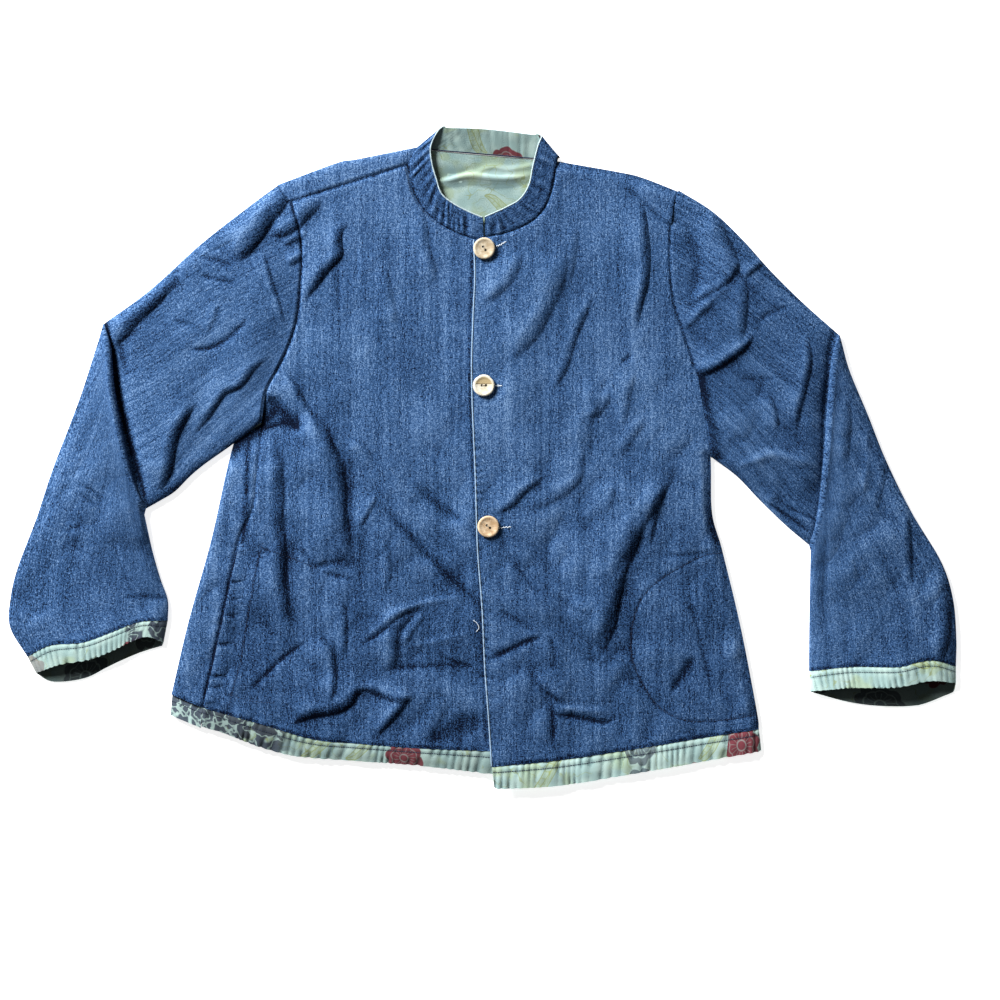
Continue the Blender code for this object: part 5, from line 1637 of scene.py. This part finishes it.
def neck_lining():
    """The back's print side, seen through the neck opening."""
    top = even_line(BACK_NECK, 90)[8:-8] - (0.0, 1.0)
    bottom = straight(*np.array(LINING_LOW, float), len(top) - 1)
    side = straight(bottom[0], top[0], 70)
    other = straight(bottom[-1], top[-1], 70)
    places = patch(bottom, top, side, other)
    flat = places.reshape(-1, 2)
    folds, shade = crease_lie(flat, NECK_LINING_CREASES)
    soft = 0.35 * uneven(flat, 30, 97) + 0.2 * uneven(flat, 12, 98)
    height = FLOOR_REST + SHELL / 2 + THIN_SHELL / 2 + 0.6 + np.maximum(folds, -0.4) + 0.5 + soft
    points = np.dstack([places, height.reshape(places.shape[:2])])
    # Painted highlight on the folds' ridges, and painted shade in their hollows and under the broad mark
    # patch.
    relief = (1.2 * folds + soft - 2.0 * shade).reshape(places.shape[:2])
    piece = cloth("back_lining_cloth", [Sheet(points, places, relief)], FINISH["neck_print"],
                  FINISH["neck_print"], THIN_SHELL)
    return state(piece, ["back_lining"], (190, 140))


def neck_seam(points):
    """The dark seam between the collar's print side and the back's."""
    line = points[0, 6:-4] + (0.0, 0.5, SHELL / 2 + 1.9)
    state(tube("neck_seam_thread", line, 0.55, FINISH["navy_thread"], 6), ())


# Buttons and sewing


def button(name):
    """A dished two-hole button turned from shell, with its thread, resting on the left front."""
    place, hole_angle, bite = BUTTONS[name]
    turn = np.linspace(0, 2 * math.pi, BUTTON_STEPS, endpoint=False)
    chip = 1 - 0.05 * bite * np.exp(-(((turn - 0.75) / 0.2) ** 2))
    chip = chip - 0.035 * bite * np.exp(-(((turn - 2.2) / 0.25) ** 2))
    rings = []
    for radius, height in BUTTON_PROFILE[1:-1]:
        reach = radius * (1 + (chip - 1) * (radius / BUTTON_RADIUS) ** 2)
        level = np.full(BUTTON_STEPS, height)
        rings.append(np.column_stack([reach * np.cos(turn), reach * np.sin(turn), level]))
    points = np.vstack([*rings, [(0, 0, BUTTON_PROFILE[0][1])], [(0, 0, BUTTON_PROFILE[-1][1])]])
    faces = grid_faces(len(rings), BUTTON_STEPS, True, 0)[:, ::-1].tolist()
    top, low, last = len(points) - 2, len(points) - 1, (len(rings) - 1) * BUTTON_STEPS
    for i in range(BUTTON_STEPS):
        k = (i + 1) % BUTTON_STEPS
        faces.append((top, i, k))
        faces.append((low, last + k, last + i))
    mesh = bpy.data.meshes.new(name)
    mesh.from_pydata((points * MM).tolist(), [], faces)
    mesh.materials.append(FINISH[name])
    piece = link(bpy.data.objects.new(f"{name}_shell", mesh))
    piece.location = Vector((*place, BUTTON_SEAT)) * MM
    ahead = np.array([math.cos(hole_angle), math.sin(hole_angle)])
    cutters = []
    for side in (-1, 1):
        spot = np.array(place) + side * ahead * HOLE_SPACING / 2
        bpy.ops.mesh.primitive_cylinder_add(
            vertices=24, radius=HOLE_RADIUS * MM, depth=20 * MM, location=Vector((*spot, BUTTON_SEAT)) * MM
        )
        cutters.append(bpy.context.object)
        cut = piece.modifiers.new("hole", "BOOLEAN")
        cut.object = cutters[-1]
    bpy.context.view_layer.update()
    apply_modifiers(piece, sharp_angle=40)
    for cutter in cutters:
        bpy.data.objects.remove(cutter, do_unlink=True)
    state(piece, [name])
    reach = HOLE_SPACING / 2 + 0.25
    ends = np.linspace(-reach, reach, 9)
    arch = BUTTON_SEAT + 2.35 - 2.6 * (np.abs(ends) / reach) ** 6
    for number, aside in enumerate((-0.3, 0.3)):
        line = np.array(place) + ends[:, None] * ahead + aside * np.array([-ahead[1], ahead[0]])
        path = np.column_stack([line, arch])
        state(tube(f"{name}_thread_{number}", path, 0.22, FINISH["button_thread"], 6), ())


def sewing():
    """Rows of stitches on the fronts, the buttonholes, and a loose end of thread."""
    pocket = laid_on(smooth_line(on_jacket(LEFT_POCKET_STITCH)), left_front_height, 0.05)
    stitches("left_pocket_stitches", [pocket], FINISH["navy_thread"], pitch=3.2, length=2.2, radius=0.3)
    foot = [laid_on(smooth_line(on_jacket(line)), right_front_height)
            for line in (RIGHT_POCKET_STITCH, RIGHT_POCKET_FOOT)]
    welt = laid_on(beside(smooth_line(on_jacket(WELT_EDGE)), 1.0), right_front_height)
    stitches("right_pocket_stitches", [*foot, welt], FINISH["navy_thread"], pitch=3.2, length=2.2, radius=0.3)
    stitches("right_neck_stitches", [laid_on(beside(even_line(RIGHT_NECK, 80), 2.4), right_front_height)],
             FINISH["navy_thread"], pitch=2.6, length=1.9, radius=0.32)
    stitches("left_neck_stitches", [laid_on(beside(even_line(LEFT_NECK, 80), -2.4), left_front_height)],
             FINISH["navy_thread"], pitch=2.6, length=1.9, radius=0.32)
    bars = []
    for line in BUTTONHOLES:
        path = even_line(on_jacket(line), 8)
        zigzag = beside(path, 0.55)
        zigzag[::2] = beside(path, -0.35)[::2]
        bars.append(laid_on(zigzag, left_front_height, 0.1))
    stitches("buttonhole_stitches", bars, FINISH["pale_thread"], pitch=1.5, length=2.2, radius=0.5)
    # A paler round edge along the left front: its colour is a painted highlight where the edge faces the
    # light.
    edge = laid_on(beside(even_line(LEFT_FRONT_EDGE, 330), 0.2), left_front_height, -0.3)
    state(tube("front_edge_highlight", edge, 0.95, FINISH["front_edge_highlight"]), ())
    loose = laid_on(even_line(on_jacket(LOOSE_THREAD), 15), right_front_height, 0.5)
    state(tube("loose_thread", loose, 0.35, FINISH["pale_thread"], 6), ())


# Stage


FLOOR_SPAN = 40
FLOOR_GAP = 0.0005  # the floor lies this far below the cloth
WINDOW_PLACE = (-2.6, 2.7, 1.7)
WINDOW_AIM = (0.05, -0.1, 0.0)
WINDOW_SPAN = 1.5
WINDOW_POWER = 620
SKY_POWER = 0.16


def stage():
    """A pale floor, one soft light from beyond the right shoulder, and a dim even sky."""
    bpy.ops.mesh.primitive_plane_add(size=FLOOR_SPAN, location=(0, 0, -FLOOR_GAP))
    floor = bpy.context.object
    floor.name = "studio_floor"
    material, shader, _ = new_finish("studio_floor", 0.9)
    shader.inputs["Base Color"].default_value = (0.9, 0.9, 0.9, 1)
    shader.inputs["Emission Color"].default_value = (1, 1, 1, 1)
    shader.inputs["Emission Strength"].default_value = 0.75
    floor.data.materials.append(material)

    key = bpy.data.lights.new("window", "AREA")
    key.shape = "DISK"
    key.size = WINDOW_SPAN
    key.energy = WINDOW_POWER
    lamp = link(bpy.data.objects.new("window", key))
    lamp.location = WINDOW_PLACE
    lamp.rotation_euler = (Vector(WINDOW_AIM) - lamp.location).to_track_quat("-Z", "Y").to_euler()

    world = bpy.data.worlds.new("studio")
    world.use_nodes = True
    sky = world.node_tree.nodes["Background"]
    sky.inputs["Color"].default_value = (1.0, 1.0, 1.0, 1)
    sky.inputs["Strength"].default_value = SKY_POWER
    bpy.context.scene.world = world
    bpy.context.scene.view_settings.view_transform = "Standard"


CAMERA_HEIGHT = 2.4
PHOTO_SPAN = 1000 * PIXEL * MM


def camera():
    """Straight above the jacket, with the photograph's frame."""
    lens = bpy.data.cameras.new("camera")
    lens.sensor_width = 36
    lens.lens = 36 * (CAMERA_HEIGHT - TOP_REST * MM) / PHOTO_SPAN
    eye = link(bpy.data.objects.new("camera", lens))
    middle = on_jacket([(500, 500)])[0] * MM
    eye.location = (middle[0], middle[1], CAMERA_HEIGHT)
    bpy.context.scene.camera = eye


# Copies of the denim: the left front's is lighter and the left sleeve's a little darker, which is painted
# light and shade, and the collar's is darker. Each print's dark makes its copy lighter or darker, painted
# light and shade; the inside print, on the inner faces of the sleeves and cuffs, is the darkest, a painted
# shadow.
FINISH = {
    "denim": denim_finish("denim", 0.0, 0.11),
    "right_denim": denim_finish("right_sleeve_denim", 0.0),
    "left_front_denim": denim_finish("left_front_denim", 0.03, 0.11),
    "left_denim": denim_finish("left_sleeve_denim", -0.01),
    "collar_denim": denim_finish("collar_denim", -0.1),
    "lining": print_finish("lining_print", (3.1, 5.2), 0.7),
    "inside": print_finish("sleeve_inside_print_in_shadow", (7.4, 1.2), 0.21),
    "right_hem_print": print_finish("right_hem_print", (14.4, 3.4), 0.70, (-60.0, 110.0), leafy=-0.05),
    "left_hem_print": print_finish("left_hem_print", (24.6, 9.4), 1.12),
    "back_hem_print": print_finish("back_hem_print", (31.2, 4.4), 1.1, (-1000.0, 1000.0)),
    "right_cuff_print": print_finish("right_cuff_print", (44.3, 7.7), 0.92, (105.0, 185.0), leafy=-0.05),
    "left_cuff_print": print_finish("left_cuff_print", (52.7, 6.5), 1.25, leafy=-0.03),
    "collar_print": print_finish("collar_print", (63.5, 3.3), 0.62),
    "neck_print": print_finish("neck_print", (74.1, 8.8), 0.76, leafy=0.1),
    "edging": thread_finish("collar_edging", (0.20, 0.27, 0.29), (0.45, 0.55, 0.58)),
    "front_edge_highlight": thread_finish("front_edge_highlight", (0.10, 0.17, 0.27), (0.27, 0.38, 0.50)),
    "navy_thread": thread_finish("navy_thread", (0.006, 0.010, 0.028), (0.016, 0.026, 0.06)),
    "pale_thread": thread_finish("pale_thread", (0.42, 0.48, 0.55), (0.68, 0.74, 0.78)),
    "button_thread": thread_finish("button_thread", (0.24, 0.20, 0.14), (0.38, 0.33, 0.25)),
    "button_top": shell_finish("top_button_shell", (0.56, 0.49, 0.37), (0.36, 0.28, 0.18), 0.0),
    "button_middle": shell_finish("middle_button_shell", (0.72, 0.69, 0.59), (0.56, 0.50, 0.37), 1.0),
    "button_bottom": shell_finish("bottom_button_shell", (0.60, 0.47, 0.32), (0.38, 0.25, 0.14), 0.0),
}

camera()
stage()
back()
right_front()
left_front()
back_stitch = back_hem_band()
right_hem = even_line(RIGHT_HEM, 300)
left_hem = even_line(LEFT_HEM, 300)
right_stitch = hem_band("right", right_hem, RIGHT_BAND_EDGE, right_front_height, 51)
left_stitch = hem_band("left", left_hem, LEFT_BAND_EDGE, left_front_height, 55)
stitches("hem_stitches", [back_stitch, right_stitch, left_stitch], FINISH["navy_thread"], 2.6, 2.2, 0.42)
pocket_welt()
cuff_stitch = []
for side in ("right", "left"):
    shares, cuff = sleeve(side)
    cuff_stitch.append(cuff_band(side, shares, cuff))
stitches("cuff_stitches", cuff_stitch, FINISH["navy_thread"], 2.6, 2.1, 0.34)
lined_points = collar()
collar_lining(lined_points)
neck_lining()
neck_seam(lined_points)
for button_name in BUTTONS:
    button(button_name)
sewing()
